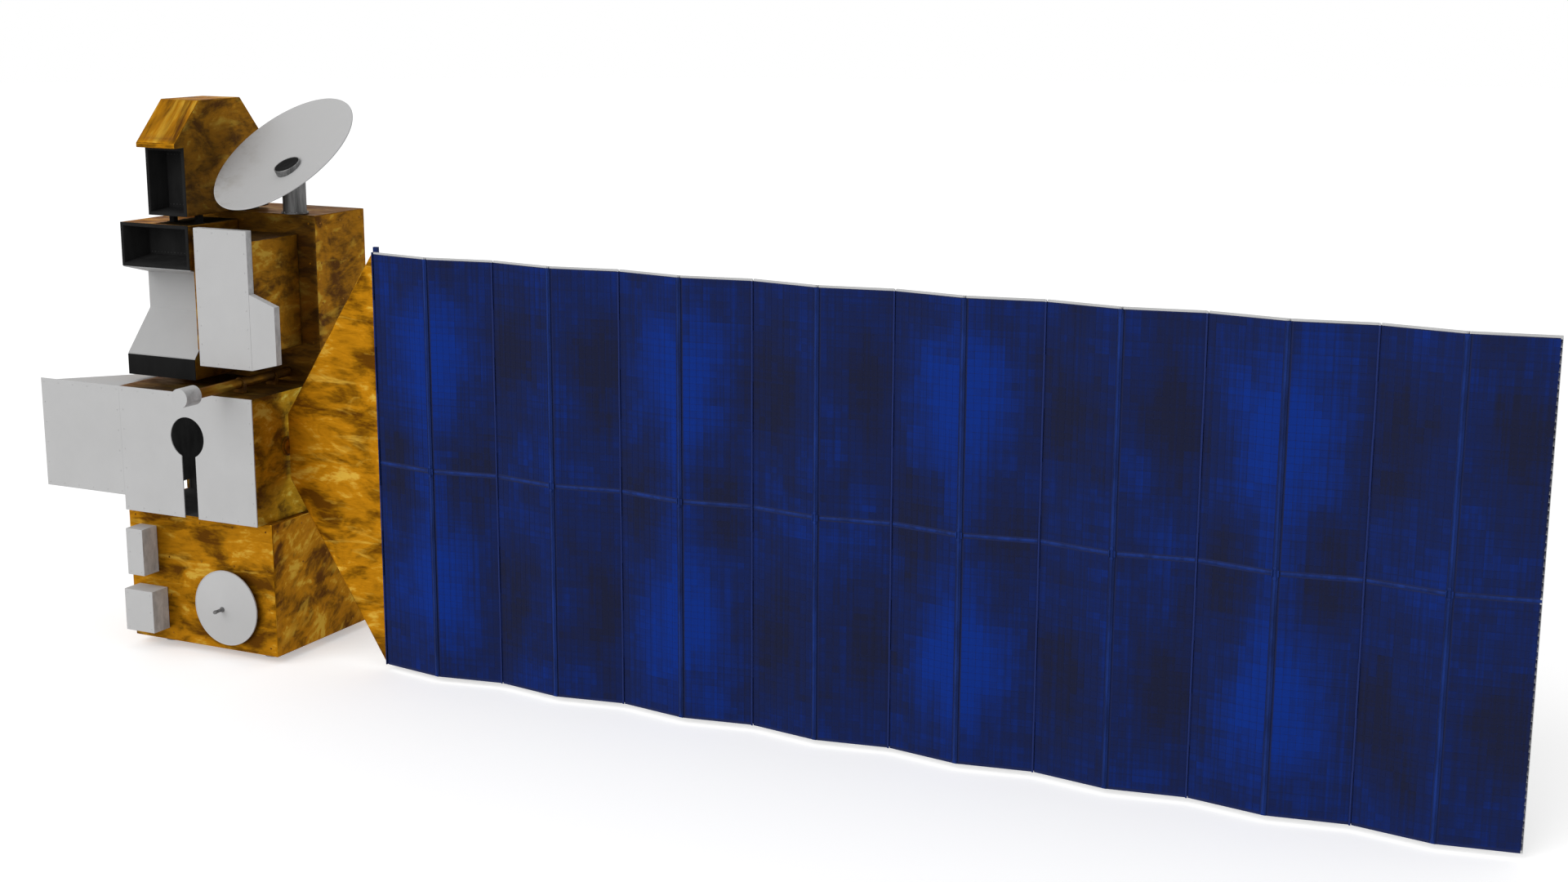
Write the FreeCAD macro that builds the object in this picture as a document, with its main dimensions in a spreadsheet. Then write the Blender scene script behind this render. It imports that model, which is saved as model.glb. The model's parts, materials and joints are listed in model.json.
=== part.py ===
import FreeCAD, Part
import Sketcher
import math
import os
import re

# A large earth-watching satellite with one folding solar wing. Millimetres, +Z up,
# the instruments look towards -Y, and the wing reaches out along +X.
# The origin is the middle of the launcher bolt pattern, on the floor.

doc = FreeCAD.newDocument("Satellite")
sheet = doc.addObject("Spreadsheet::Sheet", "Dims")

SIZES = (
    # launcher feet
    ("foot_radius", 110.0), ("foot_high", 100.0), ("foot_x", 780.0), ("foot_y", 700.0),
    ("foot_bolt_radius", 13.0), ("foot_flange", 16.0), ("foot_waist", 74.0),
    # service module, the lowest box
    ("base_wide", 2220.0), ("base_front", 1035.0), ("base_back", 1020.0), ("base_high", 1662.0),
    # tall module behind the instruments
    ("spine_front", 37.0), ("spine_lip", 93.0),
    # hollow instrument box and its slotted cover
    ("chest_left", -1003.0), ("chest_right", 1027.0), ("chest_front", 1186.0),
    ("chest_high", 1552.0), ("chest_wall", 25.0), ("chest_back_wall", 60.0),
    ("cover_thick", 14.0), ("key_x", 28.0), ("key_rise", 1001.0), ("key_radius", 253.0),
    ("slot_x", 33.0), ("slot_wide", 212.0),
    ("port_front", 330.0), ("port_deep", 295.0), ("port_rise", 1.0), ("port_high", 122.0),
    # shade that carries on the cover's plane
    ("shade_left", -2257.0), ("shade_rise", 185.0), ("gusset_left", -2002.0),
    ("gusset_back", 117.0), ("gusset_thick", 20.0),
    # two-faced scanner housing
    ("scan_left", -1104.0), ("scan_right", -62.0), ("scan_front", 880.0),
    ("scan_gap", 93.0), ("scan_high", 1876.0), ("brow_high", 545.0), ("throat_slope", 112.0),
    ("throat_high", 448.0), ("chin_high", 267.0), ("throat_deep", 450.0), ("liner_thick", 12.0),
    ("mask_thick", 10.0), ("mask_rim", 20.0), ("tray_deep", 390.0),
    # white radiator and the box behind it
    ("rad_left", 46.0), ("rad_right", 836.0), ("rad_tab_right", 1204.0), ("rad_front", 920.0),
    ("rad_thick", 99.0), ("rad_rise", 194.0), ("rad_high", 1672.0), ("notch_drop", 753.0),
    ("tab_drop", 130.0), ("tab_rise", 92.0), ("plate_edge", 5.0),
    ("side_rise", 169.0), ("side_drop", 130.0),
    # hooded sensor on top
    ("hood_left", -645.0), ("hood_right", -62.0), ("hood_gap", 16.0), ("hood_high", 819.0),
    ("hood_lip", 56.0), ("roof_high", 549.0), ("hood_back", 636.0), ("hood_overhang", 164.0),
    ("ridge_front", 572.0), ("ridge_back", 183.0), ("hood_tray_deep", 300.0),
    ("post_side", 70.0), ("post_shoe", 110.0), ("shoe_thick", 8.0), ("post_inset", 60.0),
    ("post_front", -600.0), ("post_back", 400.0),
    # capped tube on the instrument box
    ("tube_x", 597.0), ("tube_rise", 111.0), ("tube_radius", 62.0), ("tube_front", 1689.0),
    ("tube_back", 30.0), ("cap_radius", 115.0), ("cap_long", 257.0),
    ("saddle_long", 60.0), ("saddle_wide", 150.0), ("strap_thick", 9.0),
    # boxes and round antenna on the service module's face
    ("disc_x", 395.0), ("disc_high", 648.0), ("disc_radius", 472.0), ("disc_gap", 45.0),
    ("disc_rim", 14.0), ("disc_cone", 68.0), ("disc_post", 90.0), ("rod_radius", 20.0),
    ("rod_long", 149.0),
    # dish on its mast
    ("arm_reach", 282.0), ("mast_y", 185.0), ("mast_radius", 143.0), ("mast_high", 424.0),
    ("mast_flange", 22.0), ("flange_thick", 14.0),
    ("arm_thick", 50.0), ("arm_wide", 110.0), ("dish_gap", 74.0), ("pivot_y", -112.0),
    ("pivot_rise", 52.0), ("pivot_offset", 100.0), ("dish_radius", 970.0),
    ("dish_depth", 176.0), ("dish_thick", 14.0), ("dish_tilt", 39.4), ("dish_turn", -17.06),
    ("hub_radius", 160.0), ("hub_high", 100.0), ("hub_wall", 12.0), ("hub_well", 30.0),
    ("trunnion_radius", 12.0),
    ("rib_count", 8.0), ("rib_thick", 8.0), ("rib_start", 160.0), ("rib_deep", 46.0),
    ("ear_thick", 20.0), ("ear_inside", 36.0), ("ear_radius", 36.0), ("head_gap", 5.0),
    ("head_thick", 20.0), ("stub_radius", 25.0), ("stub_clear", 1.0), ("arm_eye", 66.0),
    ("bracket_wide", 60.0), ("bracket_side", 6.0), ("bracket_disc", 150.0),
    ("bracket_thick", 10.0), ("bracket_clear", 1.0),
    # solar wing drive and yoke
    ("drive_y", -555.0), ("drive_rise", 878.0), ("flange_radius", 120.0),
    ("flange_long", 14.0), ("coupling_radius", 95.0), ("coupling_thick", 12.0),
    ("shaft_start", 6.0), ("shaft_radius", 60.0), ("shaft_clear", 5.0), ("yoke_gap", 32.0),
    ("yoke_long", 1323.0), ("yoke_root", 402.0), ("yoke_short", 7.0),
    ("yoke_lift", 19.0), ("yoke_thick", 40.0), ("beam_wide", 60.0), ("beam_thick", 40.0),
    ("beam_rise", 58.0),
    # folding panels
    ("wing_low", 71.0), ("wing_high", 5006.0), ("wing_offset", 30.0),
    ("panel_pitch", 827.4), ("panel_thick", 20.0), ("fold_gap", 20.0), ("end_gap", 12.0),
    ("fold_rest", 9.18), ("barrel_radius", 10.0), ("pin_radius", 5.5), ("pin_clear", 1.0),
    ("lug_gap", 1.0), ("leaf_inset", 4.0), ("beam_gap", 7.0),
)
for row, (alias, value) in enumerate(SIZES, start=1):
    sheet.set("A%d" % row, alias)
    sheet.set("B%d" % row, str(value))
    sheet.setAlias("B%d" % row, alias)
doc.recompute()
ALIASES = {alias for alias, value in SIZES}

# What stands on, hangs from or ends at another piece takes its place from that piece.
TIES = {
    "base_top": "(foot_high + base_high)", "chest_top": "(base_top + chest_high)",
    "key_high": "(base_top + key_rise)", "port_low": "(base_top + chest_wall + port_rise)",
    "shade_low": "(base_top + shade_rise)", "drive_high": "(base_top + drive_rise)",
    "scan_low": "(chest_top + scan_gap)", "scan_top": "(scan_low + scan_high)",
    "spine_top": "(scan_top + spine_lip)", "brow_low": "(scan_top - brow_high)",
    "throat_top": "(brow_low - throat_slope)", "throat_low": "(throat_top - throat_high)",
    "chin_top": "(scan_low + chin_high)",
    "rad_low": "(scan_low + rad_rise)", "rad_top": "(rad_low + rad_high)",
    "tab_notch": "(rad_top - notch_drop)", "tab_top": "(tab_notch - tab_drop)",
    "tab_low": "(rad_low + tab_rise)", "side_low": "(rad_low + side_rise)",
    "side_top": "(rad_top - side_drop)",
    "hood_low": "(spine_top + hood_gap)", "hood_eave": "(hood_low + hood_high)",
    "hood_top": "(hood_eave + roof_high)",
    "tube_high": "(chest_top + tube_rise)", "cap_front": "(tube_front + cap_long)",
    "pivot_x": "(hood_right + dish_gap + dish_radius)", "mast_x": "(pivot_x - arm_reach)",
    "mast_top": "(spine_top + mast_high)", "arm_hole": "(stub_radius + stub_clear)",
    "pivot_high": "(mast_top + arm_thick + head_gap + head_thick + pivot_rise)",
    "yoke_left": "(chest_right + yoke_gap)", "yoke_right": "(yoke_left + yoke_long)",
    "wing_root_x": "(yoke_right + end_gap)", "wing_root_y": "(drive_y - wing_offset)",
    "wing_top": "(wing_low + wing_high)", "beam_top": "(wing_top + beam_rise)",
    "yoke_tip_top": "(wing_top - yoke_short)", "yoke_tip_low": "(wing_low + yoke_lift)",
    "bore_radius": "(pin_radius + pin_clear)",
}


def dims(text):
    """An expression with the ties spelled out, in which each name points at its cell."""
    text = str(text)
    while any(word in TIES for word in re.findall(r"[a-z_]+", text)):
        text = re.sub(r"[a-z_]+", lambda m: TIES.get(m.group(), m.group()), text)
    return re.sub(r"[a-z_]+", lambda m: "Dims." + m.group() if m.group() in ALIASES else m.group(),
                  text)


def bind(obj, **sizes):
    for prop, text in sizes.items():
        obj.setExpression(prop, dims(text))


def place(obj, corner):
    for axis, text in zip("xyz", corner):
        obj.setExpression("Placement.Base." + axis, dims(text))
    return obj


def point(name, x, y, z):
    """A reference point whose place follows the sheet, as a vector."""
    obj = doc.addObject("Part::Vertex", name)
    bind(obj, X=x, Y=y, Z=z)
    doc.recompute()
    return obj.Shape.Point


def box(name, corner, size):
    obj = doc.addObject("Part::Box", name)
    bind(obj, Length=size[0], Width=size[1], Height=size[2])
    return place(obj, corner)


TURN = {"z": FreeCAD.Rotation(),
        "y": FreeCAD.Rotation(FreeCAD.Vector(1, 0, 0), -90),
        "-y": FreeCAD.Rotation(FreeCAD.Vector(1, 0, 0), 90),
        "x": FreeCAD.Rotation(FreeCAD.Vector(0, 1, 0), 90)}


def cylinder(name, start, radius, length, along="z"):
    obj = doc.addObject("Part::Cylinder", name)
    obj.Placement = FreeCAD.Placement(FreeCAD.Vector(), TURN[along])
    bind(obj, Radius=radius, Height=length)
    return place(obj, start)


def cone(name, start, radius, tip_radius, length, along="z"):
    obj = doc.addObject("Part::Cone", name)
    obj.Placement = FreeCAD.Placement(FreeCAD.Vector(), TURN[along])
    bind(obj, Radius1=radius, Radius2=tip_radius, Height=length)
    return place(obj, start)


def funnel(name, near, far):
    """A tapered hollow along +Y between two rectangles (y, left, right, low, high)."""
    obj = doc.addObject("Part::Wedge", name)
    bind(obj, Ymin=near[0], Xmin=near[1], Xmax=near[2], Zmin=near[3], Zmax=near[4],
         Ymax=far[0], X2min=far[1], X2max=far[2], Z2min=far[3], Z2max=far[4])
    return obj


def cut(name, base, tool):
    obj = doc.addObject("Part::Cut", name)
    obj.Base, obj.Tool = base, tool
    return obj


def fuse(name, pieces):
    obj = doc.addObject("Part::MultiFuse", name)
    obj.Shapes = list(pieces)
    return obj


def plane_of(body, role):
    return [f for f in body.Origin.OriginFeatures if f.Role == role][0]


def outline(body, plane, points, start="0"):
    """A closed polygon sketched on one of the body's origin planes, each corner a dimension."""
    sketch = body.newObject("Sketcher::SketchObject", body.Name + "_outline")
    sketch.AttachmentSupport = [(plane_of(body, plane + "_Plane"), "")]
    sketch.MapMode = "FlatFace"
    lift = "-(%s)" % start if plane == "XZ" else str(start)
    sketch.setExpression("AttachmentOffset.Base.z", dims(lift))
    count = len(points)
    ring = [FreeCAD.Vector(1000 * math.cos(2 * math.pi * i / count),
                           1000 * math.sin(2 * math.pi * i / count), 0) for i in range(count)]
    for i in range(count):
        sketch.addGeometry(Part.LineSegment(ring[i], ring[(i + 1) % count]), False)
    for i in range(count):
        sketch.addConstraint(Sketcher.Constraint("Coincident", i, 2, (i + 1) % count, 1))
    for i, point in enumerate(points):
        for kind, text, now in zip(("DistanceX", "DistanceY"), point, (ring[i].x, ring[i].y)):
            index = sketch.addConstraint(Sketcher.Constraint(kind, -1, 1, i, 1, now))
            sketch.setExpression("Constraints[%d]" % index, dims(text))
    sketch.Visibility = False
    return sketch


def prism(name, plane, points, start, length, edge=None):
    """A PartDesign body: a polygon sketched on an origin plane and padded from start.

    With edge, every edge of the pad is rounded by that radius.
    """
    body = doc.addObject("PartDesign::Body", name)
    pad = body.newObject("PartDesign::Pad", name + "_pad")
    pad.Profile = outline(body, plane, points, start)
    pad.setExpression("Length", dims(length))
    pad.Reversed = plane == "XZ"
    if edge:
        doc.recompute()
        rounding = body.newObject("PartDesign::Fillet", name + "_edges")
        rounding.Base = (pad, ["Edge%d" % (i + 1) for i in range(len(pad.Shape.Edges))])
        rounding.setExpression("Radius", dims(edge))
    return body


def slab(name, corner, size):
    """A rounded machined box standing on its back face, as a body: corner and size in x, y, z."""
    left, front, low = corner
    wide, deep, high = size
    right, top = "%s + %s" % (left, wide), "%s + %s" % (low, high)
    return prism(name, "XZ", ((left, low), (right, low), (right, top), (left, top)),
                 front, deep, "plate_edge")


def turned(name, points):
    """A PartDesign body: a half section (radius, height) turned about the vertical axis."""
    body = doc.addObject("PartDesign::Body", name)
    sketch = outline(body, "XZ", points)
    turn = body.newObject("PartDesign::Revolution", name + "_turn")
    turn.Profile = sketch
    turn.ReferenceAxis = (sketch, ["V_Axis"])
    turn.Angle = 360
    return body


# ---- launcher feet -------------------------------------------------------------------
FEET = (("foot_front_left", -1, -1), ("foot_front_right", 1, -1),
        ("foot_rear_left", -1, 1), ("foot_rear_right", 1, 1))
NODES = []
for name, side, end in FEET:
    at = ("%d * foot_x" % side, "%d * foot_y" % end, "0")
    sole = cylinder(name + "_sole", at, "foot_radius", "foot_flange")
    stem = cone(name + "_stem", (at[0], at[1], "foot_flange"), "foot_waist + 12", "foot_waist",
                "foot_high - 2 * foot_flange")
    head = cylinder(name + "_head", (at[0], at[1], "foot_high - foot_flange"),
                    "foot_radius - 10", "foot_flange")
    bolt = cylinder(name + "_bolt", (at[0], at[1], "-1"), "foot_bolt_radius", "foot_high + 2")
    NODES.append(cut(name, fuse(name + "_solid", (sole, stem, head)), bolt))

# ---- boxes of the spacecraft body ----------------------------------------------------
NODES.append(box("service_module", ("-base_wide / 2", "-base_front", "foot_high"),
                 ("base_wide", "base_front + base_back", "base_top - foot_high")))
NODES.append(box("spine_module", ("-base_wide / 2", "spine_front", "base_top"),
                 ("base_wide", "base_back - spine_front", "spine_top - base_top")))

# the instrument box is open towards -Y and has a small port low in its left wall
outer = box("chest_outer", ("chest_left", "-chest_front", "base_top"),
            ("chest_right - chest_left", "chest_front + spine_front", "chest_top - base_top"))
inner = box("chest_inner",
            ("chest_left + chest_wall", "-chest_front - 1", "base_top + chest_wall"),
            ("chest_right - chest_left - 2 * chest_wall",
             "chest_front + 1 + spine_front - chest_back_wall",
             "chest_top - base_top - 2 * chest_wall"))
port = box("chest_port", ("chest_left - 1", "-port_front", "port_low"),
           ("chest_wall + 2", "port_deep", "port_high"))
NODES.append(cut("instrument_box", cut("chest_shell", outer, inner), port))

# the slotted cover: a round hole with a slot down to its lower edge
plate = box("cover_plate", ("chest_left", "-chest_front - cover_thick", "base_top"),
            ("chest_right - chest_left", "cover_thick", "chest_top - base_top"))
hole = cylinder("cover_hole", ("key_x", "-chest_front - cover_thick - 1", "key_high"),
                "key_radius", "cover_thick + 2", "y")
slot = box("cover_slot", ("slot_x - slot_wide / 2", "-chest_front - cover_thick - 1",
                          "base_top - 1"),
           ("slot_wide", "cover_thick + 2", "key_high - base_top + 1"))
NODES.append(cut("keyhole_cover", plate, fuse("cover_key", (hole, slot))))

# shade panel beside the cover, with a triangular web above and below behind it
NODES.append(slab("shade_panel", ("shade_left", "-chest_front - cover_thick", "shade_low"),
                  ("(chest_left - shade_left)", "cover_thick", "(chest_top - shade_low)")))
for name, low in (("shade_web_upper", "chest_top - gusset_thick"),
                  ("shade_web_lower", "shade_low")):
    NODES.append(prism(name, "XY", (("gusset_left", "-chest_front"),
                                    ("chest_left", "-chest_front"),
                                    ("chest_left", "-gusset_back")), low, "gusset_thick"))

# ---- scanner housing: a brow and a chin around a white throat --------------------------
profile = (("spine_front", "scan_low"), ("spine_front", "scan_top"),
           ("-scan_front", "scan_top"), ("-scan_front", "brow_low + liner_thick"),
           ("-throat_deep + liner_thick", "throat_top + liner_thick"),
           ("-throat_deep + liner_thick", "throat_low - liner_thick / 2"),
           ("-scan_front", "chin_top - liner_thick * 1.3"), ("-scan_front", "scan_low"))
housing = prism("scanner_profile", "YZ", profile, "scan_left", "scan_right - scan_left")
pocket = box("scanner_pocket",
             ("scan_left + mask_rim", "-scan_front - 1", "brow_low + liner_thick + mask_rim"),
             ("scan_right - scan_left - 2 * mask_rim", "tray_deep + 1",
              "scan_top - brow_low - liner_thick - 2 * mask_rim"))
NODES.append(cut("scanner_housing", housing, pocket))
liner = (("-scan_front", "brow_low + liner_thick"),
         ("-throat_deep + liner_thick", "throat_top + liner_thick"),
         ("-throat_deep + liner_thick", "throat_low - liner_thick / 2"),
         ("-scan_front", "chin_top - liner_thick * 1.3"), ("-scan_front", "chin_top"),
         ("-throat_deep", "throat_low"), ("-throat_deep", "throat_top"),
         ("-scan_front", "brow_low"))
NODES.append(prism("scanner_throat_liner", "YZ", liner, "scan_left", "scan_right - scan_left"))


def mask(name, left, right, front, low, high, deep, taper):
    """A black face plate with a hollow tapered tray behind it."""
    face = box(name + "_face", (left, "-(%s) - mask_thick" % front, low),
               ("%s - (%s)" % (right, left), "mask_thick", "%s - (%s)" % (high, low)))
    tray = box(name + "_tray",
               ("%s + mask_rim" % left, "-(%s)" % front, "%s + mask_rim" % low),
               ("%s - (%s) - 2 * mask_rim" % (right, left), deep,
                "%s - (%s) - 2 * mask_rim" % (high, low)))
    hollow = funnel(
        name + "_funnel",
        ("-(%s) - mask_thick - 1" % front, "%s + 2 * mask_rim" % left,
         "%s - 2 * mask_rim" % right, "%s + 2 * mask_rim" % low, "%s - 2 * mask_rim" % high),
        ("-(%s) + %s - mask_rim" % (front, deep), "%s + %s" % (left, taper),
         "%s - %s" % (right, taper), "%s + %s" % (low, taper), "%s - %s" % (high, taper)))
    return cut(name, fuse(name + "_solid", (face, tray)), hollow)


NODES.append(mask("scanner_brow_mask", "scan_left", "scan_right", "scan_front",
                  "brow_low + liner_thick", "scan_top", "tray_deep", "110"))
NODES.append(box("scanner_chin_mask", ("scan_left", "-scan_front - mask_thick", "scan_low"),
                 ("scan_right - scan_left", "mask_thick",
                  "chin_top - liner_thick * 1.3 - scan_low")))

# ---- white radiator with a side tab, and the gold box behind it -------------------------
NODES.append(prism("radiator_panel", "XZ",
                   (("rad_left", "rad_low"), ("rad_right", "rad_low"),
                    ("rad_right", "rad_top"), ("rad_left", "rad_top")),
                   "-rad_front", "rad_thick", "plate_edge"))
NODES.append(prism("radiator_tab", "XZ",
                   (("rad_right", "rad_low"), ("rad_tab_right", "tab_low"),
                    ("rad_tab_right", "tab_top"), ("rad_right", "tab_notch")),
                   "-rad_front", "rad_thick", "plate_edge"))
NODES.append(box("side_equipment_box", ("scan_right", "-rad_front + rad_thick", "side_low"),
                 ("rad_right - scan_right", "rad_front - rad_thick + spine_front",
                  "side_top - side_low")))

# ---- hooded sensor on four posts ----------------------------------------------------------
roof = (("-scan_front", "hood_low"), ("-scan_front", "hood_eave"),
        ("-scan_front - hood_overhang", "hood_eave"),
        ("-scan_front - hood_overhang", "hood_eave + hood_lip"),
        ("-ridge_front", "hood_top"), ("ridge_back", "hood_top"),
        ("hood_back", "hood_eave"), ("hood_back", "hood_low"))
house = prism("hood_profile", "YZ", roof, "hood_left", "hood_right - hood_left")
pocket = box("hood_pocket", ("hood_left + mask_rim", "-scan_front - 1", "hood_low + mask_rim"),
             ("hood_right - hood_left - 2 * mask_rim", "hood_tray_deep + 1",
              "hood_eave - hood_low - 2 * mask_rim"))
NODES.append(cut("sensor_hood", house, pocket))
NODES.append(mask("sensor_hood_mask", "hood_left", "hood_right", "scan_front",
                  "hood_low", "hood_eave", "hood_tray_deep", "70"))
left, right = "hood_left + post_inset", "hood_right - post_inset - post_side"
POSTS = (("hood_post_front_left", left, "post_front", "scan_top"),
         ("hood_post_front_right", right, "post_front", "scan_top"),
         ("hood_post_rear_left", left, "post_back", "spine_top"),
         ("hood_post_rear_right", right, "post_back", "spine_top"))
for name, left, front, low in POSTS:
    bar = box(name + "_bar", (left, front, low),
              ("post_side", "post_side", "hood_low - (%s)" % low))
    shoe = box(name + "_shoe", ("%s - (post_shoe - post_side) / 2" % left,
                                "%s - (post_shoe - post_side) / 2" % front, low),
               ("post_shoe", "post_shoe", "shoe_thick"))
    NODES.append(fuse(name, (bar, shoe)))

# ---- capped tube on two saddles -------------------------------------------------------------
NODES.append(cylinder("sensor_tube", ("tube_x", "-tube_front", "tube_high"), "tube_radius",
                      "tube_front + tube_back", "y"))
cap = cylinder("cap_outer", ("tube_x", "-cap_front", "tube_high"), "cap_radius",
               "cap_long", "y")
seat = cylinder("cap_seat", ("tube_x", "-tube_front", "tube_high"), "tube_radius",
                "cap_long + 10", "y")
NODES.append(cut("sensor_tube_cap", cap, seat))
for name, front in (("tube_saddle_front", "-900"), ("tube_saddle_rear", "-300")):
    block = box(name + "_block", ("tube_x - saddle_wide / 2", front, "chest_top"),
                ("saddle_wide", "saddle_long", "tube_high - chest_top"))
    strap = cylinder(name + "_strap", ("tube_x", "%s + saddle_long / 4" % front, "tube_high"),
                     "tube_radius + strap_thick", "saddle_long / 2", "y")
    groove = cylinder(name + "_groove", ("tube_x", "%s - 1" % front, "tube_high"),
                      "tube_radius", "saddle_long + 2", "y")
    NODES.append(cut(name, fuse(name + "_solid", (block, strap)), groove))

# ---- small boxes on the service module's face: left, low, wide, high, deep ---------------
BOXES = (("electronics_box_upper", "-937", "969", "257", "586", "265"),
         ("electronics_box_lower", "-1000", "254", "440", "527", "281"))
for name, left, low, wide, high, deep in BOXES:
    NODES.append(slab(name, (left, "-base_front - %s" % deep, low), (wide, deep, high)))

# ---- round antenna on the service module's face --------------------------------------------
front = "-base_front - disc_gap"
NODES.append(cylinder("disc_post", ("disc_x", front, "disc_high"), "disc_post", "disc_gap", "y"))
rim = cylinder("disc_rim_ring", ("disc_x", front, "disc_high"), "disc_radius", "disc_rim", "-y")
face = cone("disc_cone_face", ("disc_x", front + " - disc_rim", "disc_high"), "disc_radius",
            "rod_radius * 1.6", "disc_cone", "-y")
NODES.append(fuse("disc_antenna", (rim, face)))
NODES.append(cylinder("disc_feed_rod",
                      ("disc_x", front + " - disc_rim - disc_cone", "disc_high"),
                      "rod_radius", "rod_long", "-y"))

# ---- dish: mast, arm, turning head and tilting dish -------------------------------------------
mast = [cylinder("mast_tube", ("mast_x", "mast_y", "spine_top"), "mast_radius",
                 "mast_top - spine_top")]
for name, low in (("mast_foot", "spine_top"), ("mast_head", "mast_top - flange_thick")):
    mast.append(cylinder(name, ("mast_x", "mast_y", low), "mast_radius + mast_flange",
                         "flange_thick"))
NODES.append(fuse("dish_mast", mast))
mast_head = point("mast_head_point", "mast_x", "mast_y", "mast_top")
pivot = point("pivot_point", "pivot_x", "pivot_y", "pivot_high")
arm = doc.addObject("Part::Box", "arm_bar")
bind(arm, Length="sqrt((pivot_x - mast_x)^2 + (pivot_y - mast_y)^2)", Width="arm_wide",
     Height="arm_thick")
spin = FreeCAD.Rotation(FreeCAD.Vector(0, 0, 1), math.degrees(
    math.atan2(pivot.y - mast_head.y, pivot.x - mast_head.x)))
arm.Placement = FreeCAD.Placement(
    mast_head + spin.multVec(FreeCAD.Vector(0, -sheet.arm_wide / 2, 0)), spin)
arm_root = cylinder("arm_root", ("mast_x", "mast_y", "mast_top"), "mast_radius * 0.8",
                    "arm_thick")
arm_tip = cylinder("arm_tip", ("pivot_x", "pivot_y", "mast_top"), "arm_eye", "arm_thick")
arm_bore = cylinder("arm_bore", ("pivot_x", "pivot_y", "mast_top - 1"), "arm_hole",
                    "arm_thick + 2")
NODES.append(cut("dish_arm", fuse("arm_solid", (arm, arm_root, arm_tip)), arm_bore))

yaw = FreeCAD.Rotation(FreeCAD.Vector(0, 0, 1), sheet.dish_turn)
tilt = FreeCAD.Rotation(FreeCAD.Vector(1, 0, 0), sheet.dish_tilt)
# heights in the turning head's own frame, whose origin is the middle of the tilt pin
head_low = "(mast_top + arm_thick + head_gap - pivot_high)"
disc = cylinder("head_disc", ("0", "0", head_low), "arm_eye", "head_thick")
stub = cylinder("head_stub", ("0", "0", head_low + " - arm_thick - head_gap"), "stub_radius",
                "arm_thick + head_gap")
head = [disc, stub]
for side, start in (("a", "-ear_inside - ear_thick"), ("b", "ear_inside")):
    cheek = box("head_ear_" + side, (start, "-ear_radius", head_low + " + head_thick"),
                ("ear_thick", "2 * ear_radius", "-head_thick - " + head_low))
    knob = cylinder("head_knob_" + side, (start, "0", "0"), "ear_radius", "ear_thick", "x")
    head += [cheek, knob]
head.append(cylinder("head_pin", ("-ear_inside - ear_thick", "0", "0"), "trunnion_radius",
                     "2 * ear_inside + 2 * ear_thick", "x"))
turret = fuse("dish_turret", head)
turret.Placement = FreeCAD.Placement(pivot, yaw)
NODES.append(turret)

# the dish is a shallow bowl; its own +Z is the way it looks, and its tilt pin is at 0
RINGS = 8
steps = [i / RINGS for i in range(RINGS + 1)]
back_face = [("%.4f * dish_radius" % f, "pivot_offset + %.5f * dish_depth" % (f * f))
             for f in steps]
bowl = back_face + [(r, z + " + dish_thick") for r, z in reversed(back_face)]
shell = turned("dish_reflector", bowl)

# radial ribs on its back taper towards the rim; their upper edge lies inside the shell
rib_top = [("%.4f * dish_radius" % f, "pivot_offset + %.5f * dish_depth + dish_thick / 2" % (f * f))
           for f in steps[2:-1]]
rib = [("rib_start", "pivot_offset + dish_thick / 2"),
       ("rib_start", "pivot_offset - rib_deep / 2"),
       ("0.5 * dish_radius", "pivot_offset + 0.25 * dish_depth - rib_deep / 2")] + rib_top[::-1]
rib_pad = shell.newObject("PartDesign::Pad", "dish_rib")
rib_pad.Profile = outline(shell, "XZ", rib)
rib_pad.setExpression("Length", dims("rib_thick"))
rib_pad.Midplane = True
doc.recompute()
ribs = shell.newObject("PartDesign::PolarPattern", "dish_ribs")
ribs.Originals = [rib_pad]
ribs.Axis = (plane_of(shell, "Z_Axis"), [""])
ribs.Angle = 360
ribs.setExpression("Occurrences", dims("rib_count"))
shell.Tip = ribs
hub_start = "pivot_offset + dish_thick + 1.05 * dish_depth * (hub_radius / dish_radius)^2 + 0.6"
hub = cut("dish_hub", cylinder("hub_solid", ("0", "0", hub_start), "hub_radius", "hub_high"),
          cylinder("hub_hollow", ("0", "0", hub_start + " + hub_high - hub_well"),
                   "hub_radius - hub_wall", "hub_well + 1"))
bracket_bar = box("bracket_bar", ("-ear_inside + bracket_side", "-bracket_wide / 2", "0"),
                  ("2 * ear_inside - 2 * bracket_side", "bracket_wide",
                   "pivot_offset - bracket_thick"))
bracket_eye = cylinder("bracket_eye", ("-ear_inside + bracket_side", "0", "0"),
                       "bracket_wide / 2", "2 * ear_inside - 2 * bracket_side", "x")
bracket_disc = cylinder("bracket_plate", ("0", "0", "pivot_offset - bracket_thick"),
                        "bracket_disc", "bracket_thick")
bracket_bore = cylinder("bracket_bore", ("-ear_inside", "0", "0"),
                        "trunnion_radius + bracket_clear", "2 * ear_inside", "x")
bracket = cut("dish_bracket", fuse("bracket_solid", (bracket_bar, bracket_eye, bracket_disc)),
              bracket_bore)
for obj in (shell, hub, bracket):
    obj.Placement = FreeCAD.Placement(pivot, yaw.multiply(tilt))
    NODES.append(obj)

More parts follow.
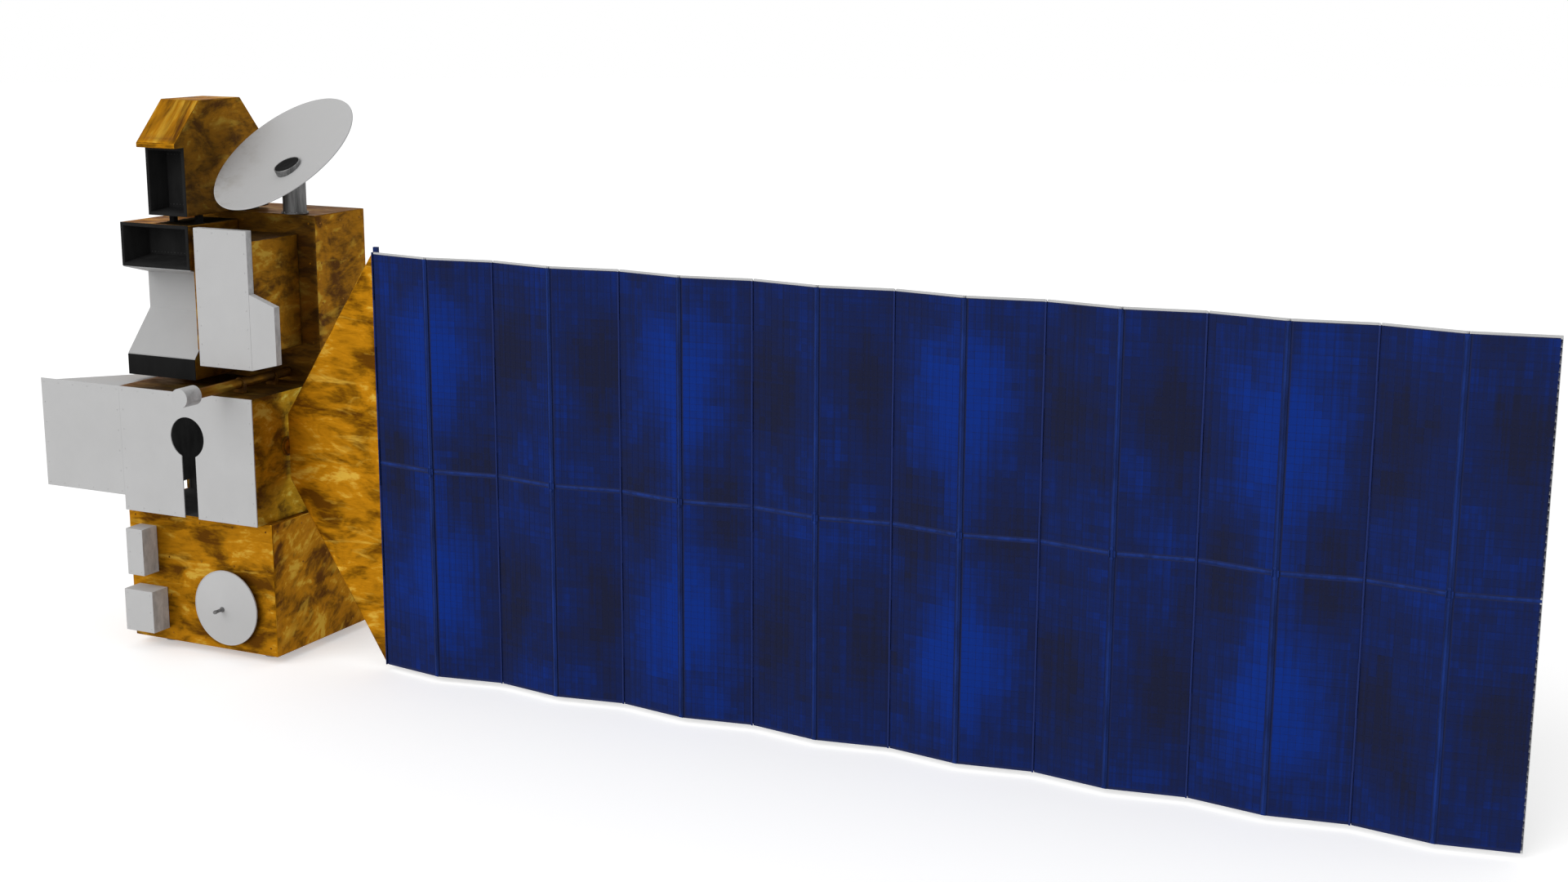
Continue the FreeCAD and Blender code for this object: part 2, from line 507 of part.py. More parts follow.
# ---- wing drive, yoke and root beam ---------------------------------------------------------
ring = cylinder("flange_ring", ("chest_right", "drive_y", "drive_high"), "flange_radius",
                "flange_long", "x")
well = cylinder("flange_well", ("chest_right - 1", "drive_y", "drive_high"),
                "shaft_radius + shaft_clear", "flange_long + 2", "x")
NODES.append(cut("drive_flange", ring, well))
shaft = cylinder("shaft_bar", ("chest_right + shaft_start", "drive_y", "drive_high"),
                 "shaft_radius", "yoke_left - coupling_thick - chest_right - shaft_start", "x")
hub_disc = cylinder("shaft_disc", ("yoke_left - coupling_thick", "drive_y", "drive_high"),
                    "coupling_radius", "coupling_thick", "x")
NODES.append(fuse("drive_shaft", (shaft, hub_disc)))
NODES.append(prism("yoke_plate", "XZ",
                   (("yoke_left", "drive_high - yoke_root"), ("yoke_right", "yoke_tip_low"),
                    ("yoke_right", "yoke_tip_top"), ("yoke_left", "drive_high + yoke_root")),
                   "drive_y - yoke_thick / 2", "yoke_thick"))

# ---- folding panels ---------------------------------------------------------------------------
KNUCKLES = 9  # on one hinge line, the near and the far side's in turn


def lugs(name, axis_x, axis_y, box_x, box_y, wide, deep, whose):
    """The knuckles of one hinge line that belong to one side, and the pin of the near side."""
    solids = []
    for j in range(KNUCKLES):
        if whose != ("near", "far")[j % 2]:
            continue
        low = "wing_low + %d * wing_high / %d" % (j, KNUCKLES)
        tall = "wing_high / %d" % KNUCKLES
        if whose == "far":
            low += " + lug_gap"
            tall += " - 2 * lug_gap"
        tag = "%s_%d" % (name, j)
        solids.append(box(tag + "_leaf", (box_x, box_y, low), (wide, deep, tall)))
        solids.append(cylinder(tag + "_barrel", (axis_x, axis_y, low), "barrel_radius", tall))
    if whose == "near":
        solids.append(cylinder(name + "_pin", (axis_x, axis_y, "wing_low"), "pin_radius",
                               "wing_high"))
    return solids


# the beam carries the near knuckles of the first hinge line, in front of it
beam = box("beam_bar", ("yoke_right", "wing_root_y + fold_gap / 2 + panel_thick + beam_gap",
                        "wing_low"),
           ("beam_wide", "beam_thick", "beam_top - wing_low"))
beam_lugs = lugs("beam_lug", "wing_root_x", "wing_root_y", "wing_root_x - end_gap",
                 "wing_root_y", "end_gap", "fold_gap / 2 + panel_thick + beam_gap", "near")
NODES.append(fuse("root_beam", [beam] + beam_lugs))

# each panel's own origin is its near hinge axis, x runs along it to the next one
angle = sheet.fold_rest
at = point("wing_root_point", "wing_root_x", "wing_root_y", "0")
HINGE_AXES = [at]
for number in range(1, 17):
    face = 1 if number % 2 else -1  # 1: near axis on the -Y face, far axis on the +Y face
    name = "panel_%02d" % number
    low_y = "fold_gap / 2" if face > 0 else "-fold_gap / 2 - panel_thick"
    board = box(name + "_board", ("end_gap", low_y, "wing_low"),
                ("panel_pitch - 2 * end_gap", "panel_thick", "wing_high"))
    back = "0" if face > 0 else "-fold_gap / 2 - panel_thick + leaf_inset"
    near = lugs(name + "_near", "0", "0", "0", back, "end_gap",
                "fold_gap / 2 + panel_thick - leaf_inset", "far")
    pieces = [board] + near
    if number < 16:
        reach = "%d * (panel_thick + fold_gap)" % face
        start = "fold_gap / 2 + leaf_inset" if face > 0 else "-panel_thick - fold_gap"
        pieces += lugs(name + "_far", "panel_pitch", reach, "panel_pitch - end_gap", start,
                       "end_gap", "fold_gap / 2 + panel_thick - leaf_inset", "near")
    solid = fuse(name + "_solid", pieces)
    bore = cylinder(name + "_bore", ("0", "0", "wing_low - 1"), "bore_radius", "wing_high + 2")
    panel = cut(name, solid, bore)
    turn = FreeCAD.Rotation(FreeCAD.Vector(0, 0, 1), -face * angle)
    panel.Placement = FreeCAD.Placement(at, turn)
    NODES.append(panel)
    at = at + turn.multVec(FreeCAD.Vector(sheet.panel_pitch,
                                          face * (sheet.panel_thick + sheet.fold_gap), 0))
    HINGE_AXES.append(at)

for obj in NODES:
    obj.Label = obj.Name
doc.recompute()
bad = [o.Name for o in doc.Objects if "Invalid" in o.State or "Error" in o.State]
if bad:
    raise RuntimeError("failed objects: %s" % bad)
for obj in NODES:
    if obj.Shape.isNull() or not obj.Shape.isValid() or len(obj.Shape.Solids) != 1:
        raise RuntimeError("%s is not one valid solid (%d)" % (obj.Label, len(obj.Shape.Solids)))
os.makedirs("parts", exist_ok=True)
for obj in NODES:
    obj.Shape.exportStep("parts/%s.step" % obj.Label)
for number, at in enumerate(HINGE_AXES):
    print("hinge axis %02d: %.3f %.3f" % (number, at.x, at.y))
print(len(NODES), "pieces written")
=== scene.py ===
"""Looks of an earth observation satellite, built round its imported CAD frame.

All lengths are metres in the frame's own axes: +X out along the solar wing, -Y the side with the
slotted cover, +Z up. The file is laid out as an add-on: settings, one operator for each group of
pieces, and a panel that lists them.
"""

import json
import math
from functools import partialmethod

import bmesh
import bpy
from mathutils import Matrix, Vector

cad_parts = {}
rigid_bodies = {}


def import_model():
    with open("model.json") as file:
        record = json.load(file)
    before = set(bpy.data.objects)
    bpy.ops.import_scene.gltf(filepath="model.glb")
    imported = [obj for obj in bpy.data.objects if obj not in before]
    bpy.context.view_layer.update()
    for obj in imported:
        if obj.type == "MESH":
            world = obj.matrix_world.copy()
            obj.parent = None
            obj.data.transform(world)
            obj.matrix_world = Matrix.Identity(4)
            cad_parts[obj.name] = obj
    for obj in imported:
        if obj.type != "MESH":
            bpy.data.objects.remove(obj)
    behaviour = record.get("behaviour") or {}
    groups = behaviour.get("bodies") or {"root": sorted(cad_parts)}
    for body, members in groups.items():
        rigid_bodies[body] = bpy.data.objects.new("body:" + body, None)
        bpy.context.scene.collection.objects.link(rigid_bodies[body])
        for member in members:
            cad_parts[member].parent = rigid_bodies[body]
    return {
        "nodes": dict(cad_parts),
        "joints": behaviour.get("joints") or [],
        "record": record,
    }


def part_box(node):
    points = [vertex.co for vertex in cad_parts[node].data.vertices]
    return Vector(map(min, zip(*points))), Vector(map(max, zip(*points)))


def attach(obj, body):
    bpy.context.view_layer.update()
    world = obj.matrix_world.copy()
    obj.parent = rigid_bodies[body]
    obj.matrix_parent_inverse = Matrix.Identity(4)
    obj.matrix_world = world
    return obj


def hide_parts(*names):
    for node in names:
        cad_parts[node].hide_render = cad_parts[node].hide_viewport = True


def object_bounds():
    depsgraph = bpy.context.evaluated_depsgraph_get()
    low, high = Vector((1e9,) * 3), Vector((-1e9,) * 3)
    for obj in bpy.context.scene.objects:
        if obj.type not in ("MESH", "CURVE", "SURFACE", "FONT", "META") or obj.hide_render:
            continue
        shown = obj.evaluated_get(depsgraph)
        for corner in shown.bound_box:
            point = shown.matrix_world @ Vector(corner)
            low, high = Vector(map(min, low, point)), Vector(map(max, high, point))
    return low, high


bl_info = {
    "name": "Earth observation satellite",
    "version": (1, 0, 0),
    "blender": (4, 5, 0),
    "location": "3D View > Sidebar > Satellite",
    "description": "Finishes and fine parts for the satellite's packed frame",
    "category": "Object",
}

for leftover in list(bpy.data.objects):
    bpy.data.objects.remove(leftover)
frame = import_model()
CAD_LOW, CAD_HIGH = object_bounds()

UP = Vector((0, 0, 1))
FRONT = Vector((0, -1, 0))
RIGHT = Vector((1, 0, 0))
BACK, DOWN, LEFT = -FRONT, -UP, -RIGHT

# the wing panels' hinges stand HINGE_OFF off the board's faces, BOARD_INSET past its ends
BOARD_THICK = 0.020
HINGE_OFF = 0.010
BOARD_INSET = 0.012
EDGE_BAND = 0.020
PANELS = 16
WING_FOOT, WING_TOP = (corner.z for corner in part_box("panel_01"))
WING_MIDDLE, WING_HALF = (WING_FOOT + WING_TOP) / 2, (WING_TOP - WING_FOOT) / 2
WING_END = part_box("panel_%02d" % PANELS)[1].x


# ---- settings ----

def tint(name, note, *value):
    """A colour setting."""
    return bpy.props.FloatVectorProperty(name=name, description=note, subtype="COLOR",
                                         default=value)


def length(name, note, value, **limits):
    """A length setting."""
    return bpy.props.FloatProperty(name=name, description=note, unit="LENGTH", default=value,
                                   **limits)


def angle(name, note, degrees):
    """An angle setting."""
    return bpy.props.FloatProperty(name=name, description=note, subtype="ANGLE",
                                   default=math.radians(degrees))


def level(name, note, value):
    """A setting that is a plain number."""
    return bpy.props.FloatProperty(name=name, description=note, default=value)


def count(name, note, value, least=1):
    """A setting that is a whole number."""
    return bpy.props.IntProperty(name=name, description=note, default=value, min=least)


class FoilSettings(bpy.types.PropertyGroup):
    """The gold blankets."""
    dark: tint("Dark folds", "Colour of the foil's dark patches", 0.105, 0.037, 0.002)
    middle: tint("Gold", "Main colour of the foil", 0.36, 0.150, 0.004)
    light: tint("Bright gold", "Colour of the foil's bright streaks", 0.60, 0.36, 0.045)
    gloom: tint("Gloom", "Dull tone that the foil's shaded sides turn to", 0.022, 0.020, 0.013)
    cool: bpy.props.FloatVectorProperty(
        name="Olive tint", description="Takes back the red that gold beside it throws on a side",
        default=(0.98, 1.26, 1.9))
    pitch: length("Mesh pitch", "Spacing of the blankets' mesh lines", 0.055, min=0.02)
    corner: length("Corner radius", "Rounding of the blankets' corners", 0.010, min=0.0)
    sag: length("Wrinkle depth", "Deepest dent of a blanket", 0.012, min=0.0)


class CoatingSettings(bpy.types.PropertyGroup):
    """Paints and bare metals."""
    white: tint("White paint", "Covers, radiators and dishes", 0.55, 0.55, 0.55)
    black: tint("Black coating", "Inside the sensor openings", 0.0095, 0.0095, 0.0095)
    grey: tint("Grey metal", "Mast, hub and turret", 0.17, 0.17, 0.17)
    steel: tint("Fittings", "Feet, posts, saddles and drive", 0.30, 0.30, 0.31)


class WingSettings(bpy.types.PropertyGroup):
    """The solar wing."""
    dark: tint("Dark cells", "Colour of the darkest cells", 0.0135, 0.0165, 0.044)
    middle: tint("Blue cells", "Main colour of the cells", 0.010, 0.0195, 0.094)
    bright: tint("Bright cells", "Colour of the brightest cells", 0.006, 0.031, 0.245)
    ridge: tint("Ridge blue", "Colour of the seams and ridges", 0.011, 0.044, 0.27)
    edge: tint("Edge", "Paint on the wing's edge channels", 0.56, 0.56, 0.56)
    columns: count("Cell columns", "Cells side by side on one panel", 10)
    rows: count("Cell rows", "Cells one above another on half a panel", 32)
    gap: length("Cell gap", "Space between neighbouring cells", 0.002, min=0.001)
    thickness: length("Cell thickness", "Height of a cell above the board", 0.0016,
                      min=0.0005, max=0.002)


class DishSettings(bpy.types.PropertyGroup):
    """The steerable dish."""
    ribs: count("Ribs", "Radial ribs on the dish's back", 8, 3)
    rim: length("Rim bead", "Radius of the rolled rim", 0.009, min=0.003)


class StageSettings(bpy.types.PropertyGroup):
    """Camera, light and floor."""
    place: bpy.props.FloatVectorProperty(
        name="Camera place", description="Where the camera stands", subtype="TRANSLATION",
        unit="LENGTH", default=(17.640, -21.211, 8.283))
    heading: angle("Heading", "Camera's turn to the left of +Y", 25.691)
    descent: angle("Descent", "How far the camera looks down", 12.166)
    roll: angle("Roll", "Camera's turn about its own line of sight", 0.19)
    lens: level("Lens", "Focal length in millimetres", 50.0)
    sky: level("Sky", "Strength of the white surroundings as light", 0.60)
    key: level("Key light", "Strength of the soft lamp", 1.25)


# ---- node trees ----

def put(socket, value):
    """Links a node's output into the socket, or writes a plain value there."""
    if isinstance(value, Value):
        socket.id_data.links.new(value.socket, socket)
    else:
        socket.default_value = value


def add(tree, kind, inputs=None, output=0, **settings):
    """Adds a node with these settings and these inputs, by name or number. Gives one output."""
    made = tree.nodes.new(kind)
    for name, value in settings.items():
        setattr(made, name, value)
    for name, value in (inputs or {}).items():
        put(made.inputs[name], value)
    return Value(made.outputs[output])


class Value:
    """A node's output. Sums, calls and comparisons, which give 0 or 1, add the nodes that work
    them out."""

    def __init__(self, socket):
        self.socket = socket

    def into(self, kind, inputs, output=0, **settings):
        """A further node of the same tree."""
        return add(self.socket.id_data, kind, inputs, output, **settings)

    def maths(self, operation, *others, clamp=False):
        return self.into("ShaderNodeMath", dict(enumerate((self, *others))),
                         operation=operation, use_clamp=clamp)

    __add__ = partialmethod(maths, "ADD")
    __sub__ = partialmethod(maths, "SUBTRACT")
    __mul__ = partialmethod(maths, "MULTIPLY")
    __truediv__ = partialmethod(maths, "DIVIDE")
    __gt__ = partialmethod(maths, "GREATER_THAN")
    __lt__ = partialmethod(maths, "LESS_THAN")
    __abs__ = partialmethod(maths, "ABSOLUTE")
    most = partialmethod(maths, "MAXIMUM")

    def inverse(self):
        """1 minus this."""
        return self * -1.0 + 1.0

    def vector(self, operation, other, output=0):
        return self.into("ShaderNodeVectorMath", {0: self, 1: other}, output,
                         operation=operation)

    def scaling(self, vector):
        """This number times a vector or colour, given or worked out."""
        return self.into("ShaderNodeVectorMath", {0: vector, "Scale": self}, operation="SCALE")

    def axis(self, name):
        """One coordinate of this place."""
        return self.into("ShaderNodeSeparateXYZ", {0: self}, name)

    def noise(self, scale, detail=2.0, roughness=0.5, distortion=0.0, stretch=None):
        """Cloudy noise between 0 and 1 at this place, with its middle at 0.5. The place may be
        stretched by a factor for each axis."""
        where = self.vector("MULTIPLY", stretch) if stretch else self
        return self.into("ShaderNodeTexNoise", {
            "Vector": where, "Scale": scale, "Detail": detail, "Roughness": roughness,
            "Distortion": distortion})

    def bands(self, scale, distortion=0.0):
        """Level bands at this place."""
        return self.into("ShaderNodeTexWave", {
            "Vector": self, "Scale": scale, "Distortion": distortion}, 1, bands_direction="Z")

    def ranged(self, low, high, out_low=0.0, out_high=1.0):
        """This value carried from one range to another, held at both ends."""
        return self.into("ShaderNodeMapRange", {0: self, 1: low, 2: high, 3: out_low,
                                                4: out_high})

    def hump(self, middle, width):
        """A bell that is 1 where this value meets the middle and falls off over the width."""
        off = (self - middle) / width
        return (off * off * -1.0).maths("EXPONENT")

    def ramp(self, *stops):
        """A colour ramp through (position, colour) stops."""
        made = self.into("ShaderNodeValToRGB", {0: self})
        elements = made.socket.node.color_ramp.elements
        while len(elements) < len(stops):
            elements.new(0.5)
        for element, (position, colour) in zip(elements, stops):
            element.position = position
            element.color = opaque(colour)
        return made

    def mixing(self, first, second):
        """The mix of two colours by this amount; plain colours are given with alpha."""
        return self.into("ShaderNodeMix", {0: self, 6: first, 7: second}, 2, data_type="RGBA")


def opaque(colour):
    """A colour with full alpha, whether it comes as three numbers or one."""
    three = (colour,) * 3 if isinstance(colour, float) else tuple(colour)
    return (*three, 1.0)


class Skin:
    """A new material, its tree and its shader."""

    def __init__(self, name, metallic=0.0, roughness=0.5, specular=0.5):
        self.material = bpy.data.materials.new(name)
        self.material.use_nodes = True
        self.tree = self.material.node_tree
        self.place = add(self.tree, "ShaderNodeTexCoord", output="Object")
        self.set({"Metallic": metallic, "Roughness": roughness, "Specular IOR Level": specular})

    def set(self, inputs):
        """Gives the shader these inputs."""
        for name, value in inputs.items():
            put(self.tree.nodes["Principled BSDF"].inputs[name], value)

    def attribute(self, name):
        """A number that the mesh carries."""
        return add(self.tree, "ShaderNodeAttribute", output="Fac", attribute_name=name)

    def facing(self, direction):
        """How far the surface faces this way, from -1 to 1, in the frame's axes."""
        normal = add(self.tree, "ShaderNodeTexCoord", output="Normal")
        return normal.vector("DOT_PRODUCT", direction, "Value")

    def coat(self, colour, roughness, height, distance, strength):
        """Sets the colour and the roughness, bumps the surface, and gives the material."""
        bump = height.into("ShaderNodeBump", {"Height": height, "Distance": distance,
                                              "Strength": strength})
        self.set({"Base Color": colour, "Roughness": roughness, "Normal": bump})
        return self.material


# ---- finishes ----

def gold_foil():
    """Wrinkled metal-coated film: broad dark and bright blotches drawn out along the streaks of
    the piece's own "blanket" map, fine streaks in them, painted glints in short bright dashes,
    and sharp creases. The mesh carries each face's painted shade, and which faces get an olive
    tint that is painted to take back the red light that gold beside them throws."""
    look = bpy.context.scene.satellite_foil
    skin = Skin("gold_foil")
    flat = add(skin.tree, "ShaderNodeUVMap", uv_map="blanket")
    blotches = flat.noise(2.6, 4.0, 0.58, 0.6, (0.50, 1, 1))
    streaks = flat.noise(9.0, 6.0, 0.62, 0.8, (0.30, 1, 1))
    flecks = flat.noise(42.0, 3.0, 0.6, 0.0, (0.22, 1, 1))
    dashes = flat.noise(5.2, 5.0, 0.6, 0.5, (0.24, 1, 1))
    gold, light = Vector(look.middle), opaque(look.light)
    tone = blotches * 0.66 + streaks * 0.26 + flecks * 0.08
    foil = tone.ramp((0.405, look.dark), (0.462, gold * 0.62), (0.505, gold),
                     (0.56, gold * 1.25), (0.61, look.light))
    # painted glints: short dashes mixed towards the bright gold
    glinting = (dashes.ranged(0.575, 0.70) * 0.75).mixing(foil, light)
    # painted tint: olive on the faces the mesh marks, against the red light that gold beside them
    # throws
    lit = skin.attribute("cool").mixing(glinting, glinting.vector("MULTIPLY", look.cool))
    shade = skin.attribute("shade")
    # painted shade: the colour is scaled by each face's shade and turns to the dull gloom as it
    # darkens
    gloom = shade.ranged(0.0, 1.0, 1.0, 0.0).scaling(look.gloom)
    # the metal and its reflection fade out where the painted shade is deep
    sheen = shade.ranged(0.05, 0.28)
    skin.set({"Specular Tint": light, "Metallic": sheen * 0.62,
              "Specular IOR Level": sheen * 0.12})
    creases = flat.into("ShaderNodeTexVoronoi", {
        "Vector": flat.vector("MULTIPLY", (0.5, 1, 1)), "Scale": 7.5}, "Distance",
        feature="DISTANCE_TO_EDGE").ranged(0.0, 0.10)
    return skin.coat(shade.scaling(lit).vector("ADD", gloom),
                     streaks.ranged(0.35, 0.65, 0.52, 0.34),
                     flecks * 0.2 + streaks * 1.6 + creases * 0.6, 0.006, 0.24)


def clouded(name, shader, cloud, stops, rough, bump, relief=None):
    """A plain metal or tape, with clouds in its colour and its roughness, and in its surface
    unless that has its own relief. The shader is given as Skin takes it, and the cloud as
    noise does; rough is the roughness at both ends of a cloud."""
    skin = Skin(name, *shader)
    tone = skin.place.noise(*cloud)
    height = relief(skin.place) if relief else tone
    return skin.coat(tone.ramp(*stops), tone.ranged(0.3, 0.7, *rough), height, *bump)


def gold_fitting(name="gold_fitting", light=1.0):
    """Gold anodised metal, for the parts that no blanket covers."""
    look = bpy.context.scene.satellite_foil
    stops = (0.36, Vector(look.dark) * light), (0.64, Vector(look.middle) * 0.9 * light)
    return clouded(name, (0.7, 0.45, 0.2), (9.0, 5.0, 0.6, 0.5, (1, 0.5, 1)), stops,
                   (0.55, 0.38), (0.002, 0.3))


def grey_metal():
    """Grey anodised metal with brush marks down its length."""
    grey = Vector(bpy.context.scene.satellite_coating.grey)
    stops = (0.30, grey * 0.40), (0.5, grey), (0.70, grey * 1.75)
    return clouded("grey_metal", (0.35, 0.5, 0.3), (1.6, 6.0, 0.62, 0.3, (14, 14, 1.1)), stops,
                   (0.58, 0.42), (0.001, 0.3))


def steel_fitting():
    """Machined light metal, duller where it has been handled."""
    steel = Vector(bpy.context.scene.satellite_coating.steel)
    stops = (0.33, steel * 0.7), (0.67, steel * 1.25)
    return clouded("steel_fitting", (0.8, 0.38, 0.4), (11.0, 6.0, 0.6), stops, (0.30, 0.50),
                   (0.0004, 0.2), lambda place: place.bands(90.0, 1.5))


def ridge_blue(name, light):
    """Blue tape and mouldings of the wing."""
    blue = Vector(bpy.context.scene.satellite_wing.ridge) * light
    stops = (0.34, blue * 0.55), (0.66, blue * 1.25)
    return clouded(name, (0.0, 0.5, 0.12), (2.5, 5.0, 0.6, 0.0, (4, 4, 1)), stops, (0.42, 0.6),
                   (0.001, 0.2))


def white_paint(name="white_paint", light=1.0):
    """Matt thermal paint, faintly mottled, with soft grey brush marks on the narrow sides."""
    white = Vector(bpy.context.scene.satellite_coating.white)
    skin = Skin(name, roughness=0.62, specular=0.22)
    mottle = skin.place.noise(1.7, 5.0, 0.6)
    brush = skin.place.noise(3.2, 5.0, 0.65, 0.4, (9.0, 2.6, 1.3))
    narrow = abs(skin.facing(RIGHT)).ranged(0.55, 0.85)
    marks = narrow * brush.ranged(0.32, 0.66, -0.38, 0.06) + 1.0
    colour = (mottle.ranged(0.3, 0.7, 0.965, 1.03) * marks).scaling(white * light)
    return skin.coat(colour, mottle.ranged(0.3, 0.7, 0.55, 0.70), skin.place.noise(160.0),
                     0.0006, 0.25)


def dish_paint():
    """The dish's white paint, with faint brown smudges on the half towards the sensors."""
    white = Vector(bpy.context.scene.satellite_coating.white) * 0.91
    skin = Skin("dish_paint", roughness=0.6, specular=0.22)
    middle = centre("dish_reflector").x
    smudge = skin.place.noise(5.5, 6.0, 0.62, 0.5, (1, 1, 1.4))
    across = skin.place.vector("DOT_PRODUCT", (1.0, 0.25, 0.1), "Value")
    dirt = smudge.ranged(0.47, 0.66) * across.ranged(middle + 0.15, middle - 0.75)
    colour = dirt.mixing(opaque(white), opaque((0.33, 0.305, 0.27)))
    return skin.coat(colour, smudge.ranged(0.3, 0.7, 0.52, 0.68), skin.place.noise(150.0),
                     0.0006, 0.25)


def black_coating(name="black_coating", light=1.0, face_y=None, stray=0.0):
    """Deep matt black, a little uneven. The hollow behind a face plate at this Y is painted
    lighter, against the shade inside it, and stray light in a deep cavity is given as a faint
    painted glow."""
    black = Vector(bpy.context.scene.satellite_coating.black) * light
    skin = Skin(name, roughness=0.85, specular=0.08)
    cloud = skin.place.noise(6.0, 5.0, 0.6, 0.0, (1, 1, 0.35))
    colour = cloud.ramp((0.35, black * 0.75), (0.65, black * 1.35))
    if face_y is not None:
        # the hollow behind the face plate is painted lighter, against the shade inside it
        colour = skin.place.axis("Y").ranged(face_y, face_y + 0.004, 1.0, 1.25).scaling(colour)
    # painted glow that stands for stray light
    skin.set({"Emission Color": colour, "Emission Strength": stray})
    return skin.coat(colour, cloud.ranged(0.3, 0.7, 0.75, 0.95), skin.place.noise(90.0, 3.0),
                     0.001, 0.3)


def panel_board():
    """Wing board: blue in front, painted lighter beside every other fold against the shade there,
    dark carbon behind, white along its edges and in a narrow band at the wing's top and outer
    end."""
    look = bpy.context.scene.satellite_wing
    skin = Skin("panel_board", roughness=0.55, specular=0.12)
    x, z = skin.place.axis("X"), skin.place.axis("Z")
    weave = skin.place.noise(1.0, 3.0, 0.6, 0.0, (40, 40, 3))
    plain = skin.place.noise(2.2, 4.0, 0.55).ramp(
        (0.35, Vector(look.dark).lerp(look.middle, 0.5)), (0.65, look.middle))
    behind = weave.ramp((0.3, (0.012, 0.013, 0.016)), (0.7, (0.026, 0.027, 0.031)))
    knuckle = (x - hinge_axis(1).x).maths("PINGPONG", HINGE_STEP.x) < FOLD_MARGIN
    # beside every other fold the board is painted lighter, against the shade in the fold
    front = knuckle.mixing(plain, opaque(Vector(look.middle) * 1.45))
    body = skin.facing(BACK).ranged(0.3, 0.6).mixing(front, behind)
    rim = abs(skin.facing(UP)).ranged(0.8, 0.9) * knuckle.inverse()
    band = (x > WING_END - EDGE_BAND).most(z > WING_TOP - EDGE_BAND)
    band *= x > hinge_axis(1).x - BOARD_INSET
    return skin.coat(rim.most(band).mixing(body, opaque(look.edge)),
                     weave.ranged(0.3, 0.7, 0.48, 0.65), weave, 0.0008, 0.3)


def solar_cell():
    """Cell glass. Each cell carries its own "tone", with painted glows and shade in it; thin grid
    fingers run across it.
    """
    look = bpy.context.scene.satellite_wing
    skin = Skin("solar_cell", roughness=0.5, specular=0.03)
    tone = skin.attribute("tone")
    upright = skin.place.noise(1.0, 3.0, 0.65, 0.0, (30, 0, 0.5))
    flat = skin.place.noise(1.0, 3.0, 0.65, 0.0, (0.5, 0, 30))
    amount = tone.maths("ADD", upright * 0.80 + flat * 0.40 - 0.60, clamp=True)
    return skin.coat(amount.ramp((0.0, look.dark), (0.42, look.middle), (1.0, look.bright)),
                     tone.ranged(0.0, 1.0, 0.56, 0.44), skin.place.bands(38.0), 0.0003, 0.15)


# the materials by name, made by the operator that paints the frame
FINISHES = {}
# the finish that a CAD piece gets for each of the record's material slots
CAD_FINISH = {
    "gold_foil": "gold_fitting", "white_paint": "white_paint",
    "black_coating": "black_coating", "grey_metal": "grey_metal",
    "steel_fitting": "steel_fitting", "solar_cells": "panel_board",
    "dark_blue_frame": "panel_board",
}
NODE_FINISH = {
    # the throat liner's white is a copy with painted shade
    "root_beam": "beam_blue", "scanner_throat_liner": "throat_shaded_paint",
    # the masks get a black painted lighter, against the shade in their openings
    "scanner_brow_mask": "mask_black", "sensor_hood_mask": "mask_black",
    # the tube saddles' gold is a copy with painted shade
    "tube_saddle_front": "shaded_gold", "tube_saddle_rear": "shaded_gold",
}


# ---- geometry node trees ----

def new_group(name, **inputs):
    """A geometry node tree with these named inputs and a Material, and its input values."""
    tree = bpy.data.node_groups.new(name, "GeometryNodeTree")
    tree.interface.new_socket("Geometry", in_out="INPUT", socket_type="NodeSocketGeometry")
    for label, default in inputs.items():
        kind = {float: "NodeSocketFloat", int: "NodeSocketInt"}[type(default)]
        made = tree.interface.new_socket(label, in_out="INPUT", socket_type=kind)
        made.default_value = default
    tree.interface.new_socket("Material", in_out="INPUT", socket_type="NodeSocketMaterial")
    tree.interface.new_socket("Geometry", in_out="OUTPUT", socket_type="NodeSocketGeometry")
    given = tree.nodes.new("NodeGroupInput").outputs
    return tree, {socket.name: Value(socket) for socket in given}


def close_group(geometry, given, selection=True):
    """Ends a tree: instances made real, and the material set."""
    real = geometry.into("GeometryNodeRealizeInstances", {0: geometry})
    painted = real.into("GeometryNodeSetMaterial", {
        "Geometry": real, "Selection": selection, "Material": given["Material"]})
    tree = geometry.socket.id_data
    put(tree.nodes.new("NodeGroupOutput").inputs[0], painted)
    return tree


def named(tree, name, kind="FLOAT"):
    """A named attribute's value."""
    return add(tree, "GeometryNodeInputNamedAttribute", {"Name": name}, data_type=kind)


def instances(points, shape, rotation):
    """The shape on each point, turned this way."""
    return points.into("GeometryNodeInstanceOnPoints", {
        "Points": points, "Instance": shape, "Rotation": rotation})


def grown(mesh, tree_name, material, **values):
    """The plain mesh that the named tree makes of the given one."""
    tree = TREES[tree_name]
    values["Material"] = FINISHES[material]
    carrier = bpy.data.objects.new("carrier", mesh)
    bpy.context.scene.collection.objects.link(carrier)
    modifier = carrier.modifiers.new("grow", "NODES")
    modifier.node_group = tree
    for item in tree.interface.items_tree:
        if item.in_out == "INPUT" and item.name in values:
            modifier[item.identifier] = values[item.name]
    depsgraph = bpy.context.evaluated_depsgraph_get()
    made = bpy.data.meshes.new_from_object(carrier.evaluated_get(depsgraph))
    carrier.modifiers.clear()
    bpy.data.objects.remove(carrier)
    return made


